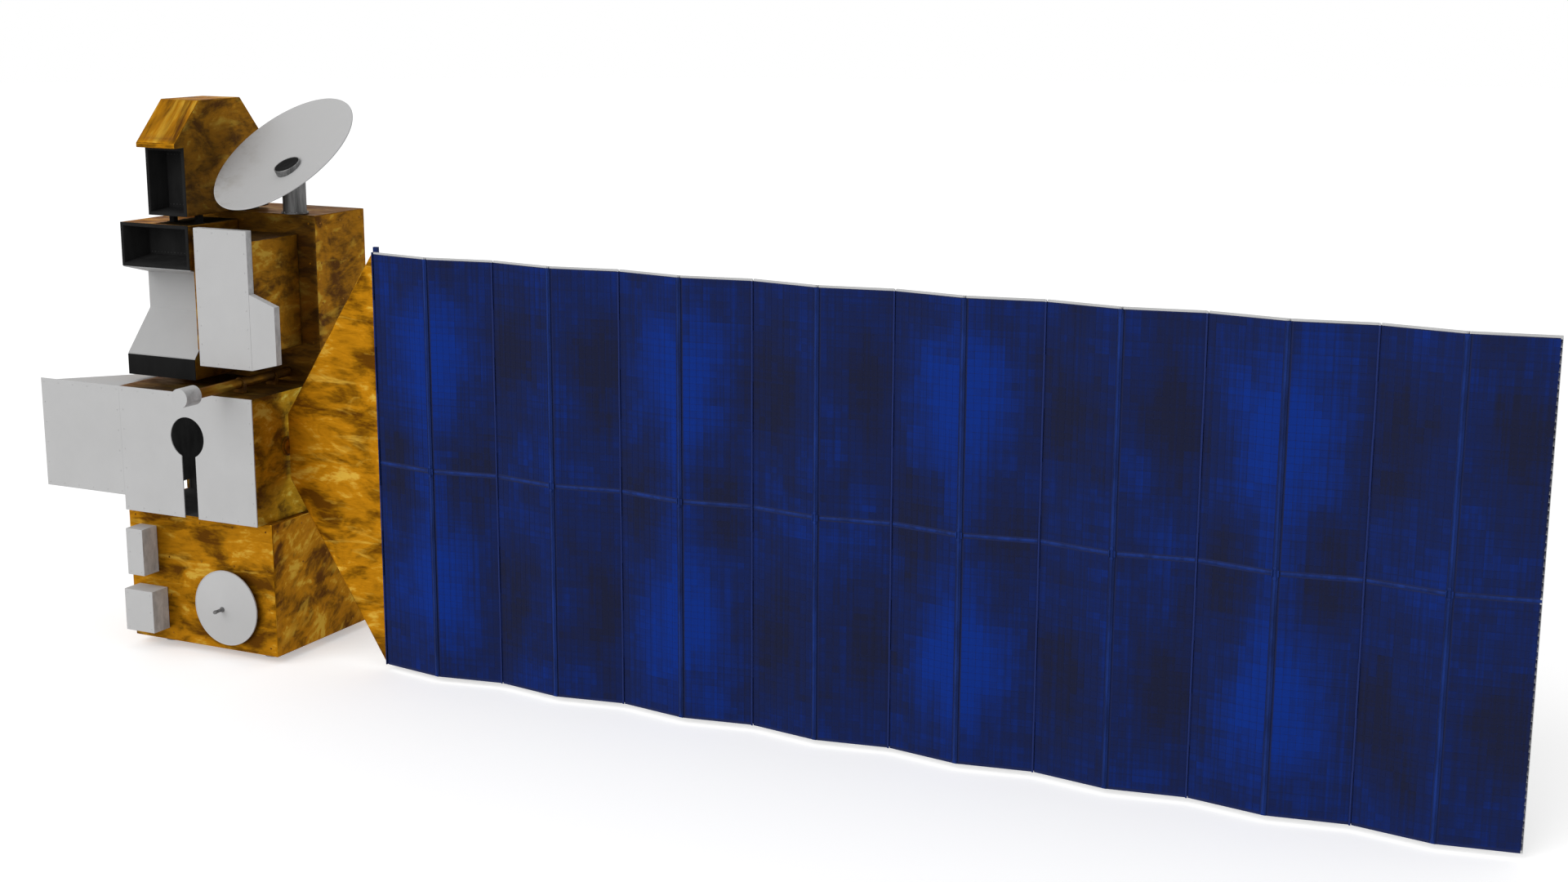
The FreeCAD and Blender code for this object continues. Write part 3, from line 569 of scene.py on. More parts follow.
def wrinkle_tree():
    """Presses a skin inward by soft dents and narrow creases, where its slack allows."""
    tree, given = new_group("blanket_wrinkles", Depth=0.012, Seed=0.0)
    place = add(tree, "GeometryNodeInputPosition")
    shifted = place.vector("ADD", add(tree, "ShaderNodeCombineXYZ",
                                      dict.fromkeys(range(3), given["Seed"])))
    dents = shifted.noise(2.6, 3.0, 0.55, 0.3, (1, 1, 1.7))
    waves = shifted.noise(5.5, 2.0, 0.5, 0.6, (0.8, 0.8, 2.2))
    crease = abs(waves * 2.0 - 1.0).ranged(0.0, 0.22).inverse()
    hollow = crease * 0.38 + dents.ranged(0.3, 0.7, 0.0, 0.62)
    deep = hollow * named(tree, "slack") * given["Depth"]
    inward = (deep * -1.0).scaling(add(tree, "GeometryNodeInputNormal"))
    moved = inward.into("GeometryNodeSetPosition", {"Geometry": given["Geometry"],
                                                    "Offset": inward})
    outside = add(tree, "FunctionNodeCompare", {0: named(tree, "outside"), 1: 0.5},
                  data_type="FLOAT", operation="GREATER_THAN")
    return close_group(moved, given, outside)


def stud_tree():
    """A low chamfered head on each point, standing along the point's "facing"."""
    tree, given = new_group("studs", Radius=0.008, Height=0.004, Sides=10)
    head = add(tree, "GeometryNodeMeshCone", {
        "Vertices": given["Sides"], "Radius Bottom": given["Radius"],
        "Radius Top": given["Radius"] * 0.72, "Depth": given["Height"]}, fill_type="NGON")
    turn = add(tree, "FunctionNodeAlignRotationToVector", {
        "Vector": named(tree, "facing", "FLOAT_VECTOR")}, axis="Z")
    return close_group(instances(given["Geometry"], head, turn), given)


# the cells' tone changes in blocks, tall ones and wide ones
TALL_BLOCK = (0.155, 1.0, 0.46)
WIDE_BLOCK = (0.40, 1.0, 0.15)


def cell_tree():
    """A thin clipped-corner cell on each point, with a tone that drifts over the wing and holds
    painted glows and shade.
    """
    tree, given = new_group("solar_cells", Width=0.07, Height=0.07, Thickness=0.0016,
                            Corner=0.008, Turn=0.0, Root=0.0, Pitch=0.82, Half=2.5, Middle=2.57)
    tone = cell_tone(tree, given)
    kept = tone.into("GeometryNodeStoreNamedAttribute", {
        "Geometry": given["Geometry"], "Name": "tone", "Value": tone}, data_type="FLOAT",
        domain="POINT")
    spin = add(tree, "ShaderNodeCombineXYZ", {0: math.pi / 2, 1: 0.0, 2: given["Turn"]})
    return close_group(instances(kept, cell_shape(tree, given), spin), given)


def cell_shape(tree, given):
    """One cell, flat, with a closed underside."""
    outline = add(tree, "GeometryNodeCurvePrimitiveQuadrilateral", {
        "Width": given["Width"], "Height": given["Height"]})
    clipped = add(tree, "GeometryNodeFilletCurve", {
        "Curve": outline, "Radius": given["Corner"], "Count": 1}, mode="POLY")
    face = add(tree, "GeometryNodeFillCurve", {"Curve": clipped}, mode="NGONS")
    thick = add(tree, "GeometryNodeExtrudeMesh", {
        "Mesh": face, "Offset": (0.0, 0.0, 1.0), "Offset Scale": given["Thickness"]},
        mode="FACES")
    under = add(tree, "GeometryNodeFlipFaces", {"Mesh": face})
    both = add(tree, "GeometryNodeJoinGeometry", {0: under})
    put(both.socket.node.inputs[0], thick)
    return add(tree, "GeometryNodeMergeByDistance", {"Geometry": both, "Distance": 0.0001})


def cell_tone(tree, given):
    """How bright a cell is: painted glows that stand beside every other fold, painted shade in
    patches between them, and blocks and clouds over all."""
    place = add(tree, "GeometryNodeInputPosition")
    along, above = place.axis("X") - given["Root"], place.axis("Z") - given["Middle"]
    off = along.maths("PINGPONG", given["Pitch"] * 2.0) / given["Pitch"]
    share = abs(above) / given["Half"]
    cloud = place.noise(1.9, 5.0, 0.68, 0.5, (1, 0, 0.8))
    upright = place.vector("SNAP", TALL_BLOCK).noise(4.3, 2.0, 0.6)
    flat = place.vector("SNAP", WIDE_BLOCK).noise(5.1, 2.0, 0.6)
    blocks = upright * 0.62 + flat * 0.38
    # painted glow beside every other fold
    beam = abs(off + cloud * 0.5 - 0.25).hump(0.0, share.ranged(0.10, 0.58, 0.22, 0.60))
    tall = (share.hump(0.56, 0.24) * 0.72 + 0.34) * share.ranged(0.70, 0.96, 1.0, 0.1)
    # painted shade in patches between the glows
    gloom = (off.hump(0.66, 0.34) * share.hump(0.0, 0.2)).most(
        off.hump(1.30, 0.42) * share.hump(0.55, 0.26))
    speck = add(tree, "FunctionNodeRandomValue", {"Min": -0.05, "Max": 0.05, "Seed": 7},
                "Value", data_type="FLOAT")
    lit = blocks * 0.95 + cloud * 1.05 - 0.53 + beam * tall * 0.64 - gloom * 0.50
    return lit.maths("ADD", speck, clamp=True)


def ring_tree():
    """The given shape repeated round its Z axis."""
    tree, given = new_group("ring_of", Count=8)
    spots = add(tree, "GeometryNodeMeshLine", {"Count": given["Count"], "Offset": (0, 0, 0)},
                "Mesh", mode="OFFSET")
    turn = add(tree, "GeometryNodeInputIndex") / given["Count"] * math.tau
    spin = add(tree, "ShaderNodeCombineXYZ", {0: 0.0, 1: 0.0, 2: turn})
    return close_group(instances(spots, given["Geometry"], spin), given)


TREES = {}


# ---- mesh helpers ----

def piece(name, shape, body, coat=None, place=None, sharp=None, replaces=()):
    """A finished object that rides on a body. Its shape is a
    mesh, or a bmesh to be moved into place. The coat names a material, and edges stay sharp
    above the angle of a smooth piece."""
    mesh = shape if isinstance(shape, bpy.types.Mesh) else mesh_from(shape, name, place)
    if coat:
        mesh.materials.clear()
        mesh.materials.append(FINISHES[coat])
    if sharp:
        mesh.shade_smooth()
        mesh.set_sharp_from_angle(angle=math.radians(sharp))
    made = bpy.data.objects.new(name, mesh)
    bpy.context.scene.collection.objects.link(made)
    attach(made, body)
    if replaces:
        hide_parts(*replaces)


# a direction in which parts of a mesh seldom lie level with each other
SORT_WAY = Vector((0.7548, 0.5698, 0.3251))


def mesh_from(bm, name, matrix=None):
    """A mesh of this bmesh, moved into place; the bmesh is freed. Its parts are put in order of
    place, because a bevel lists its new faces in a different order each run."""
    bm.verts.sort(key=lambda vert: vert.co.dot(SORT_WAY))
    bm.edges.sort(key=lambda edge: (edge.verts[0].co + edge.verts[1].co).dot(SORT_WAY))
    bm.faces.sort(key=lambda face: face.calc_center_median().dot(SORT_WAY))
    if matrix is not None:
        bm.transform(matrix)
    made = bpy.data.meshes.new(name)
    bm.to_mesh(made)
    bm.free()
    return made


def centre(node):
    """The middle of a CAD node's box."""
    low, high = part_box(node)
    return (low + high) / 2


def joint(key, value):
    """The joint whose entry of this name has this value, and its place."""
    found = next(item for item in frame["joints"] if item[key] == value)
    return found, Vector(found["pos_m"])


def block(bm, low, high, bevel):
    """Adds a box between two corners, its edges bevelled."""
    low, high = Vector(low), Vector(high)
    place = Matrix.Translation((low + high) / 2) @ Matrix.Diagonal((*(high - low), 1.0))
    made = bmesh.ops.create_cube(bm, size=1.0, matrix=place)
    edges = list(dict.fromkeys(edge for vert in made["verts"] for edge in vert.link_edges))
    bmesh.ops.bevel(bm, geom=edges, offset=bevel, segments=2, profile=0.5, affect="EDGES")


def circle(steps, radius, start=0.0):
    """Spots round a circle, the first one turned by this share of a step."""
    turns = [math.tau * (step + start) / steps for step in range(steps)]
    return [(radius * math.cos(turn), radius * math.sin(turn)) for turn in turns]


def dome(steps, wide, tall):
    """Spots over half an ellipse, from its right foot to its left."""
    turns = [math.pi * step / steps for step in range(steps + 1)]
    return [(wide * math.cos(turn), tall * math.sin(turn)) for turn in turns]


def lathe(steps, *profiles):
    """Closed (radius, height) outlines turned about Z; points at radius 0 become poles."""
    bm = bmesh.new()
    for profile in profiles:
        rings = [[bm.verts.new((x, y, height)) for x, y in circle(steps if radius else 1, radius)]
                 for radius, height in profile]
        made = []
        for first, second in zip(rings, rings[1:] + rings[:1]):
            for step in range(steps):
                after = (step + 1) % steps
                ring = [first[step % len(first)], second[step % len(second)],
                        second[after % len(second)], first[after % len(first)]]
                corners = list(dict.fromkeys(ring))
                if len(corners) > 2:
                    made.append(bm.faces.new(corners))
        bmesh.ops.recalc_face_normals(bm, faces=made)
    return bm


def loft(bm, rings):
    """Joins like outlines in order into one closed body."""
    rings = [[bm.verts.new(spot) for spot in ring] for ring in rings]
    made = [bm.faces.new(rings[0][::-1]), bm.faces.new(rings[-1])]
    for below, above in zip(rings, rings[1:]):
        for step in range(len(below)):
            after = (step + 1) % len(below)
            made.append(bm.faces.new((below[step], below[after], above[after], above[step])))
    bmesh.ops.recalc_face_normals(bm, faces=made)


def moulding(bm, outline, low, high, flare=0.0):
    """Draws a closed (x, y) outline upward from one height to another. Near both ends it may
    flare to a wider foot."""
    levels = [(low, 1.0 + flare), (low + 0.02, 1.0 + flare * 0.55), (low + 0.06, 1.0),
              (high - 0.06, 1.0), (high - 0.02, 1.0 + flare * 0.55), (high, 1.0 + flare)]
    if flare == 0:
        levels = [levels[0], levels[-1]]
    middle = sum(x for x, _ in outline) / len(outline)
    loft(bm, [[(middle + (x - middle) * wide, y, height) for x, y in outline]
              for height, wide in levels])


def evenly(low, high, pitch):
    """Places from low to high, as near this pitch as fits."""
    gaps = max(1, round((high - low) / pitch))
    return [low + (high - low) * step / gaps for step in range(gaps + 1)]


# each kind of fastener: its slot, its finish, and its head's radius, height and sides
BUTTON = ("gold_foil", "gold_fitting", 0.015, 0.006, 10)
RIVET = ("gold_foil", "gold_fitting", 0.006, 0.003, 8)
GOLD_BOLT = ("gold_foil", "gold_fitting", 0.006, 0.005, 6)
STEEL_BOLT = ("steel_fitting", "steel_fitting", 0.008, 0.007, 6)
CLIP = ("steel_fitting", "steel_fitting", 0.011, 0.003, 8)
WHITE_SCREW = ("white_paint", "white_paint", 0.009, 0.003, 10)
BLACK_SCREW = ("black_coating", "screw_black", 0.007, 0.004, 8)


def studs(name, spots, way, body, kind):
    """One piece of fasteners of a kind at these spots, all facing one way or each its own."""
    slot, coat, radius, height, sides = kind
    ways = [way] * len(spots) if isinstance(way, Vector) else way
    mesh = bpy.data.meshes.new("points")
    mesh.from_pydata([tuple(spot) for spot in spots], [], [])
    layer = mesh.attributes.new("facing", "FLOAT_VECTOR", "POINT")
    layer.data.foreach_set("vector", [part for way in ways for part in way])
    piece(name, grown(mesh, "studs", coat, Radius=radius, Height=height, Sides=sides), body)


# ---- gold blankets ----

# node: the body it rides on, and how light its painted shade leaves its right side, its front and
# its top
BLANKETS = {
    "service_module": ("bus", 0.88, 0.96, 0.8), "spine_module": ("bus", 0.66, 0.42, 0.34),
    "instrument_box": ("bus", 0.84, 0.9, 0.30), "scanner_housing": ("bus", 0.5, 0.3, 1.0),
    "side_equipment_box": ("bus", 0.60, 0.5, 0.16), "sensor_hood": ("bus", 0.46, 0.93, 1.0),
    "yoke_plate": ("array_yoke", 0.9, 1.1, 0.9),
}
FASTENED = ("service_module", "spine_module")
# painted shade: how light the other faces are, and the painted shadow on the scanner's top below
# the hooded sensor
HIDDEN_SHADE = 0.92
HOOD_SHADOW, HOOD_SHADOW_REACH = 0.03, 0.34
SEAM_PITCH, SEAM_HALF, SEAM_END = 1.25, 0.018, 0.01
BUTTON_PITCH, BUTTON_INSET = 0.50, 0.10
TAPE_HALF_THICK, TAPE_ROUNDING = 0.0022, 0.0015
RIVET_END, RIVET_PITCH = 0.06, 0.14
# how deep a button is sunk, and how far a rivet stands off for its tape
STUD_STEP = 0.003
# how near to a seam or a button the foil is still pulled tight
PINCH = 0.12
CAVITY_WALL = 0.026
# how steeply the service module's side streaks climb, and the streaks' pace by face
SIDE_STREAK = math.radians(34)
SIDE_STREAK_PACE, SLOPE_STREAK_PACE = 1.6, 0.55


def skin_grid(node, look):
    """A copy of the node's skin with rounded corners, cut into a fine grid."""
    low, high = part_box(node)
    bm = bmesh.new()
    bm.from_mesh(frame["nodes"][node].data)
    bmesh.ops.remove_doubles(bm, verts=bm.verts, dist=1e-5)
    bmesh.ops.dissolve_limit(bm, angle_limit=0.02, verts=bm.verts, edges=bm.edges)
    bmesh.ops.bevel(bm, geom=bent_edges(bm, 0.3), offset=look.corner, segments=2, profile=0.5,
                    affect="EDGES", clamp_overlap=True)
    for axis in range(3):
        normal = Vector((axis == 0, axis == 1, axis == 2))
        for place in evenly(low[axis], high[axis], look.pitch)[1:-1]:
            bmesh.ops.bisect_plane(bm, geom=bm.verts[:] + bm.edges[:] + bm.faces[:],
                                   plane_co=normal * place, plane_no=normal, dist=1e-6)
    return bm


def bent_edges(bm, least):
    """The edges whose faces meet at more than this angle."""
    return [edge for edge in bm.edges if edge.is_manifold and edge.calc_face_angle() > least]


def loosen(bm, buttons, seams):
    """Gives each point its slack: none at the corners, the buttons and the seams."""
    slack = bm.verts.layers.float.new("slack")
    hard = {vert for edge in bent_edges(bm, 0.1) for vert in edge.verts}
    near = {other for vert in hard for edge in vert.link_edges for other in edge.verts} - hard
    for vert in bm.verts:
        pinch = min(((vert.co - spot).length for spot, _ in buttons), default=1.0)
        for start, end, _ in seams:
            share = (vert.co - start).dot(end - start) / (end - start).length_squared
            nearest = start.lerp(end, min(1.0, max(0.0, share)))
            pinch = min(pinch, max(0.0, (vert.co - nearest).length - SEAM_HALF))
        vert[slack] = 0.0 if vert in hard else 0.5 if vert in near else 1.0
        vert[slack] *= min(1.0, pinch / PINCH)
    return slack


def blanket_base(node, look, shades, buttons, seams):
    """A blanket before it is wrinkled: a fine grid with its streak map, how light its painted
    shade leaves its faces, and the slack and outside values that the wrinkles read."""
    low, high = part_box(node)
    bm = skin_grid(node, look)
    slack = loosen(bm, buttons, seams)
    outside, shade, cool = (bm.faces.layers.float.new(name)
                            for name in ("outside", "shade", "cool"))
    uv = bm.loops.layers.uv.new("blanket")
    hollow = node == "instrument_box"
    for face in bm.faces:
        normal, middle = face.normal, face.calc_center_median()
        ways = zip(shades, (normal.x, -normal.y, normal.z))
        # each face gets its painted shade by the way it faces
        face[shade] = next((light for light, amount in ways if amount > 0.6), HIDDEN_SHADE)
        # painted shadow of the hooded sensor on the scanner's top
        if node == "scanner_housing" and normal.z > 0.6:
            face[shade] += (HOOD_SHADOW - face[shade]) * under_hood(middle)
        # painted shade on the hood's sides: lighter towards the top, darker towards the bottom
        if node == "sensor_hood" and abs(normal.x) > 0.6:
            face[shade] *= 0.60 + 0.75 * (middle.z - low.z) / (high.z - low.z)
        # the hollow box's right side gets the painted olive tint, against the red light that the
        # gold beside it throws
        face[cool] = float(hollow and normal.x > 0.6)
        inner = hollow and in_cavity(middle, low, high, abs(normal.x))
        face[outside] = float(not inner)
        for vert in face.verts if inner else ():
            vert[slack] = 0.0
        along, across = streak_axes(normal, SIDE_STREAK if node == "service_module" else 0.0)
        shift = 3.7 * low.x + 2.3 * low.z + 1.9 * round(normal.x) + 5.1 * abs(normal.z)
        for loop in face.loops:
            place = loop.vert.co
            loop[uv].uv = (place.dot(along) + shift, place.dot(across) + 0.61 * shift)
    return mesh_from(bm, node)


def in_cavity(place, low, high, lean):
    """Whether a face here is inside the hollow box or the port through its left wall."""
    room = min(min(place[axis] - low[axis], high[axis] - place[axis]) for axis in (0, 2))
    if room > CAVITY_WALL - 0.002 and place.y < high.y - 0.03:
        return True
    port = opening("side_port")
    return lean < 0.99 and all(port[0][axis] - 0.03 < place[axis] < port[1][axis] + 0.03
                               for axis in range(3))


def streak_axes(normal, rise):
    """Which way the foil's streaks run on a face, times their pace, and the way across them.
    On a side face they climb towards the back by this angle."""
    along, pace = RIGHT, 1.0
    if abs(normal.x) > 0.7:
        along, pace = Vector((0, math.cos(rise), math.sin(rise))), SIDE_STREAK_PACE
    elif 0.3 < abs(normal.y) < 0.95 and normal.z > 0.3:
        along = Vector((0, normal.z, -normal.y)).normalized()
        pace = SLOPE_STREAK_PACE if abs(normal.x) < 0.3 else 1.0
    return along * pace, normal.cross(along).normalized()


def under_hood(place):
    """How deep a spot on the scanner's top lies in the hooded sensor's painted shadow, from 0 to
    1.
    """
    low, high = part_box("sensor_hood_mask")
    if place.x < low.x or place.y < low.y + 0.09:
        return 0.0
    return min(1.0, max(0.0, 1.0 - (place.x - high.x) / HOOD_SHADOW_REACH))


def opening(name):
    """The low and high corners of one of the record's openings."""
    found = next(item for item in frame["record"]["physics"]["openings"]
                 if item["name"] == name)
    return [Vector(corner) for corner in found["box_m"]]


def seam_lines(node):
    """Taped joins of a module's blanket on its back and left faces: each one's ends, and the
    way it faces."""
    low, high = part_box(node)
    middle, end = (low + high) / 2, SEAM_END
    lines = []
    for z in evenly(low.z, high.z, SEAM_PITCH)[1:-1]:
        lines += [((low.x + end, high.y, z), (high.x - end, high.y, z), BACK),
                  ((low.x, low.y + end, z), (low.x, high.y - end, z), LEFT)]
    for x, y, way in ((middle.x, high.y, BACK), (low.x, middle.y, LEFT)):
        lines.append(((x, y, low.z + end), (x, y, high.z - end), way))
    return [(Vector(start), Vector(stop), way) for start, stop, way in lines]


def button_spots(node):
    """Where buttons pin a module's blanket: a grid on each upright face, with its direction."""
    low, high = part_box(node)
    across, deep, heights = (evenly(low[axis] + BUTTON_INSET, high[axis] - BUTTON_INSET,
                                    BUTTON_PITCH) for axis in range(3))
    spots = [((x, y, z), way) for y, way in ((low.y, FRONT), (high.y, BACK))
             for x in across for z in heights]
    spots += [((x, y, z), way) for x, way in ((low.x, LEFT), (high.x, RIGHT))
              for y in deep for z in heights]
    return [(Vector(spot), way) for spot, way in spots]


# ---- wing and dish frames ----

def hinge_axis(number):
    """Where the inner hinge of a wing panel stands, in plan."""
    place = joint("child", "wing_panel_%02d" % number)[1]
    return Vector((place.x, place.y, 0))


HINGE_STEP = hinge_axis(2) - hinge_axis(1)
HINGE_CROSS = BOARD_THICK + 2 * HINGE_OFF
HINGE_SPAN = math.sqrt(HINGE_STEP.length ** 2 - HINGE_CROSS ** 2)
LEAN = math.atan2(-HINGE_STEP.y, HINGE_STEP.x) + math.atan2(HINGE_CROSS, HINGE_SPAN)
BOARD_END = HINGE_SPAN - BOARD_INSET
FOLD_MIDDLE = HINGE_SPAN - 0.002
FOLD_MARGIN = BOARD_INSET + 0.002
# a fold cover reaches this far over its own panel, and further over the next one
COVER_HALF, COVER_LAP = 0.026, 0.032
COVER_MARGIN = 0.036
COVER_CLEAR, COVER_TALL = 0.0055, 0.006
BEAD_HALF, BEAD_TALL = 0.013, 0.011
SEAM_STRIP_HALF, SEAM_STRIP_TALL = 0.016, 0.006
# a bead's clamps: place along and up from the crossing, half width, half height, reach forward
CLAMPS = ((-0.032, 0, 0.007, 0.034, 0.0150), (0, -0.052, 0.017, 0.016, 0.0235),
          (0.032, 0, 0.007, 0.034, 0.0150), (0, 0.052, 0.017, 0.016, 0.0235))
# the cells' margin, how far they sink into the board, and their clipped corners' share
CELL_EDGE, CELL_SUNK, CELL_CLIP = 0.030, 0.0002, 0.05
CHANNEL_WALL = 0.0018
STIFFENER_SHARES = (0.06, 0.28, 0.5, 0.72, 0.94)
STIFFENER_HALF, STIFFENER_INSET, STIFFENER_TALL = 0.016, 0.035, 0.006
CABLES = (0.13, 0.69)
CABLE_HALF, CABLE_TALL, CABLE_END = 0.014, 0.0025, 0.05
CLIP_OUT, CLIP_END, CLIP_PITCH = 0.003, 0.15, 0.30
LAST_STEM = "panel_%02d_" % PANELS
BOWL_RADIUS, BOWL_DEPTH, BOWL_BASE, BOWL_THICK = 0.970, 0.176, 0.100, 0.014
HUB_RADIUS, HUB_TALL = 0.164, 0.064
HUB_LEAN, HUB_TURN = math.radians(-10), math.radians(-8)
DISH_TILT = math.radians(39.4)
MAST_BOLT_RING, MAST_FLANGE = 0.154, 0.016
FOOT_BOLT_RING, FOOT_TOP, DRIVE_BOLT_RING = 0.098, 0.019, 0.108


def panels():
    """Each wing panel: whether its number is odd, its own axes at rest (X outward from its
    inner hinge, Y back from its front face), their turn, its body and its pieces' stem."""
    for number in range(1, PANELS + 1):
        odd = number % 2 == 1
        turn = -LEAN if odd else LEAN
        front = HINGE_OFF if odd else -HINGE_OFF - BOARD_THICK
        place = (Matrix.Translation(hinge_axis(number)) @ Matrix.Rotation(turn, 4, "Z")
                 @ Matrix.Translation((0, front, 0)))
        yield odd, place, turn, "wing_panel_%02d" % number, "panel_%02d_" % number


def dish_frame():
    """The dish's own axes: its tilt pin at the origin, +Z the way it looks."""
    pin, place = joint("name", "dish_elevation")
    side = Vector(pin["axis"]).normalized()
    look = UP * math.cos(DISH_TILT) - UP.cross(side) * math.sin(DISH_TILT)
    turned = Matrix((side, look.cross(side), look)).transposed().to_4x4()
    return Matrix.Translation(place) @ turned


def forward_frame(node):
    """Axes for turned work on a round node: at the middle of its back, +Z to the front."""
    middle = centre(node)
    middle.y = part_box(node)[1].y
    return Matrix.Translation(middle) @ Matrix.Rotation(math.pi / 2, 4, "X")


# ---- operators ----

KEY_FROM, KEY_SOFTNESS = Vector((-0.30, -0.86, 0.50)), math.radians(50)
FLOOR_RADIUS, FAR = 150.0, 400.0


class SATELLITE_OT_stage(bpy.types.Operator):
    """Sets up the camera, the soft light, the white surroundings and the pale floor"""
    bl_idname = "satellite.stage"
    bl_label = "Stage"

    def execute(self, context):
        look = context.scene.satellite_stage
        context.scene.view_settings.view_transform = "Standard"
        camera = bpy.data.objects.new("camera", bpy.data.cameras.new("camera"))
        camera.data.lens = look.lens
        camera.data.clip_end = FAR
        camera.matrix_world = (
            Matrix.Translation(look.place) @ Matrix.Rotation(look.heading, 4, "Z")
            @ Matrix.Rotation(math.pi / 2 - look.descent, 4, "X")
            @ Matrix.Rotation(look.roll, 4, "Z"))
        context.scene.camera = camera
        lamp = bpy.data.objects.new("key_light", bpy.data.lights.new("key_light", "SUN"))
        lamp.data.energy = look.key
        lamp.data.angle = KEY_SOFTNESS
        lamp.rotation_mode = "QUATERNION"
        lamp.rotation_quaternion = KEY_FROM.to_track_quat("Z", "Y")
        for made in (camera, lamp, self.floor()):
            context.scene.collection.objects.link(made)
        world = bpy.data.worlds.new("surroundings")
        context.scene.world = world
        world.use_nodes = True
        background = world.node_tree.nodes["Background"]
        background.inputs["Color"].default_value = (1, 1, 1, 1)
        seen = self.to_the_eye(world.node_tree)
        put(background.inputs["Strength"], seen.ranged(0.0, 1.0, look.sky, 1.0))
        return {"FINISHED"}

    def to_the_eye(self, tree):
        """1 for rays from the eye, straight or off a surface, and 0 for those that carry
        light."""
        camera, glossy, through = (add(tree, "ShaderNodeLightPath", output="Is %s Ray" % kind)
                                   for kind in ("Camera", "Glossy", "Transmission"))
        return camera.most(glossy.most(through))

    def floor(self):
        """A wide pale disc. To the eye it is almost as bright as the surroundings, and it
        keeps the object's shadow."""
        bm = bmesh.new()
        middle = (CAD_LOW + CAD_HIGH) / 2
        bmesh.ops.create_circle(bm, cap_ends=True, segments=96, radius=FLOOR_RADIUS,
                                matrix=Matrix.Translation((middle.x, middle.y, 0)))
        made = bpy.data.objects.new("floor", mesh_from(bm, "floor"))
        skin = Skin("floor", roughness=0.9, specular=0.0)
        seen = self.to_the_eye(skin.tree)
        grain = skin.place.noise(30.0, 3.0)
        plain, pale = grain.ramp((0.3, 0.68), (0.7, 0.72)), grain.ramp((0.3, 0.96), (0.7, 0.97))
        skin.set({"Base Color": seen.mixing(plain, pale), "Emission Color": (1, 1, 1, 1),
                  "Emission Strength": seen.ranged(0.0, 1.0, 0.0, 0.36)})
        made.data.materials.append(skin.material)
        return made


class SATELLITE_OT_finishes(bpy.types.Operator):
    """Makes the finishes and puts them on the CAD pieces that stay"""
    bl_idname = "satellite.finishes"
    bl_label = "Finishes"

    def execute(self, context):
        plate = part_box("scanner_brow_mask")[0].y + 0.001
        for made in (
                # the saddles' gold is a copy at 0.3 of full light, with painted shade
                gold_foil(), gold_fitting(), gold_fitting("shaded_gold", 0.3), white_paint(),
                # the throat liner's white is a copy with painted shade, at 0.80 of full light
                white_paint("throat_shaded_paint", 0.80), white_paint("edge_paint"),
                # the masks' black is painted lighter, and lighter again behind the face plate,
                # against the shade in the openings
                black_coating(), black_coating("mask_black", 1.45, plate),
                # the cavity's black is painted lighter against the shade inside the hollow box,
                # with a painted glow of stray light
                black_coating("screw_black", 7.0), black_coating("cavity_black", 5.0, stray=0.15),
                dish_paint(), grey_metal(), steel_fitting(), solar_cell(), panel_board(),
                ridge_blue("beam_blue", 0.35), ridge_blue("seam_blue", 0.62),
                ridge_blue("cover_blue", 0.40)):
            # the frame's own materials hold some of the plain names, so a number may follow
            FINISHES[made.name.split(".")[0]] = made
        TREES.update(wrinkles=wrinkle_tree(), studs=stud_tree(), cells=cell_tree(),
                     ring=ring_tree())
        for name, node in frame["nodes"].items():
            for slot in node.material_slots:
                plain = CAD_FINISH[slot.material.name.split(".")[0]]
                slot.material = FINISHES[NODE_FINISH.get(name, plain)]
        return {"FINISHED"}


class SATELLITE_OT_blankets(bpy.types.Operator):
    """Wraps the modules and the yoke in wrinkled gold blankets"""
    bl_idname = "satellite.blankets"
    bl_label = "Gold blankets"

    def execute(self, context):
        look = context.scene.satellite_foil
        for number, (node, (body, *shades)) in enumerate(BLANKETS.items()):
            fastened = node in FASTENED
            buttons = button_spots(node) if fastened else []
            seams = seam_lines(node) if fastened else []
            base = blanket_base(node, look, shades, buttons, seams)
            base.materials.append(FINISHES["cavity_black"])
            thin = 0.4 if node == "yoke_plate" else 1.0
            mesh = grown(base, "wrinkles", "gold_foil", Depth=look.sag * thin, Seed=7.0 * number)
            piece(node + "_blanket", mesh, body, sharp=24, replaces=(node,))
            if fastened:
                studs(node + "_buttons", [spot - way * STUD_STEP for spot, way in buttons],
                      [way for _, way in buttons], body, BUTTON)
                self.tapes(node, body, seams)
        return {"FINISHED"}

    def tapes(self, node, body, seams):
        """Flat tapes over the blanket's joins, each with a row of small rivets."""
        bm = bmesh.new()
        spots, ways = [], []
        for start, end, way in seams:
            along = (end - start).normalized()
            reach = Vector(map(abs, along.cross(way) * SEAM_HALF + way * TAPE_HALF_THICK))
            block(bm, Vector(map(min, start, end)) - reach, Vector(map(max, start, end)) + reach,
                  TAPE_ROUNDING)
            places = evenly(RIVET_END, (end - start).length - RIVET_END, RIVET_PITCH)
            spots += [start + along * place + way * STUD_STEP for place in places]
            ways += [way] * len(places)
        piece(node + "_tapes", bm, body, "gold_fitting")
        studs(node + "_rivets", spots, ways, body, RIVET)


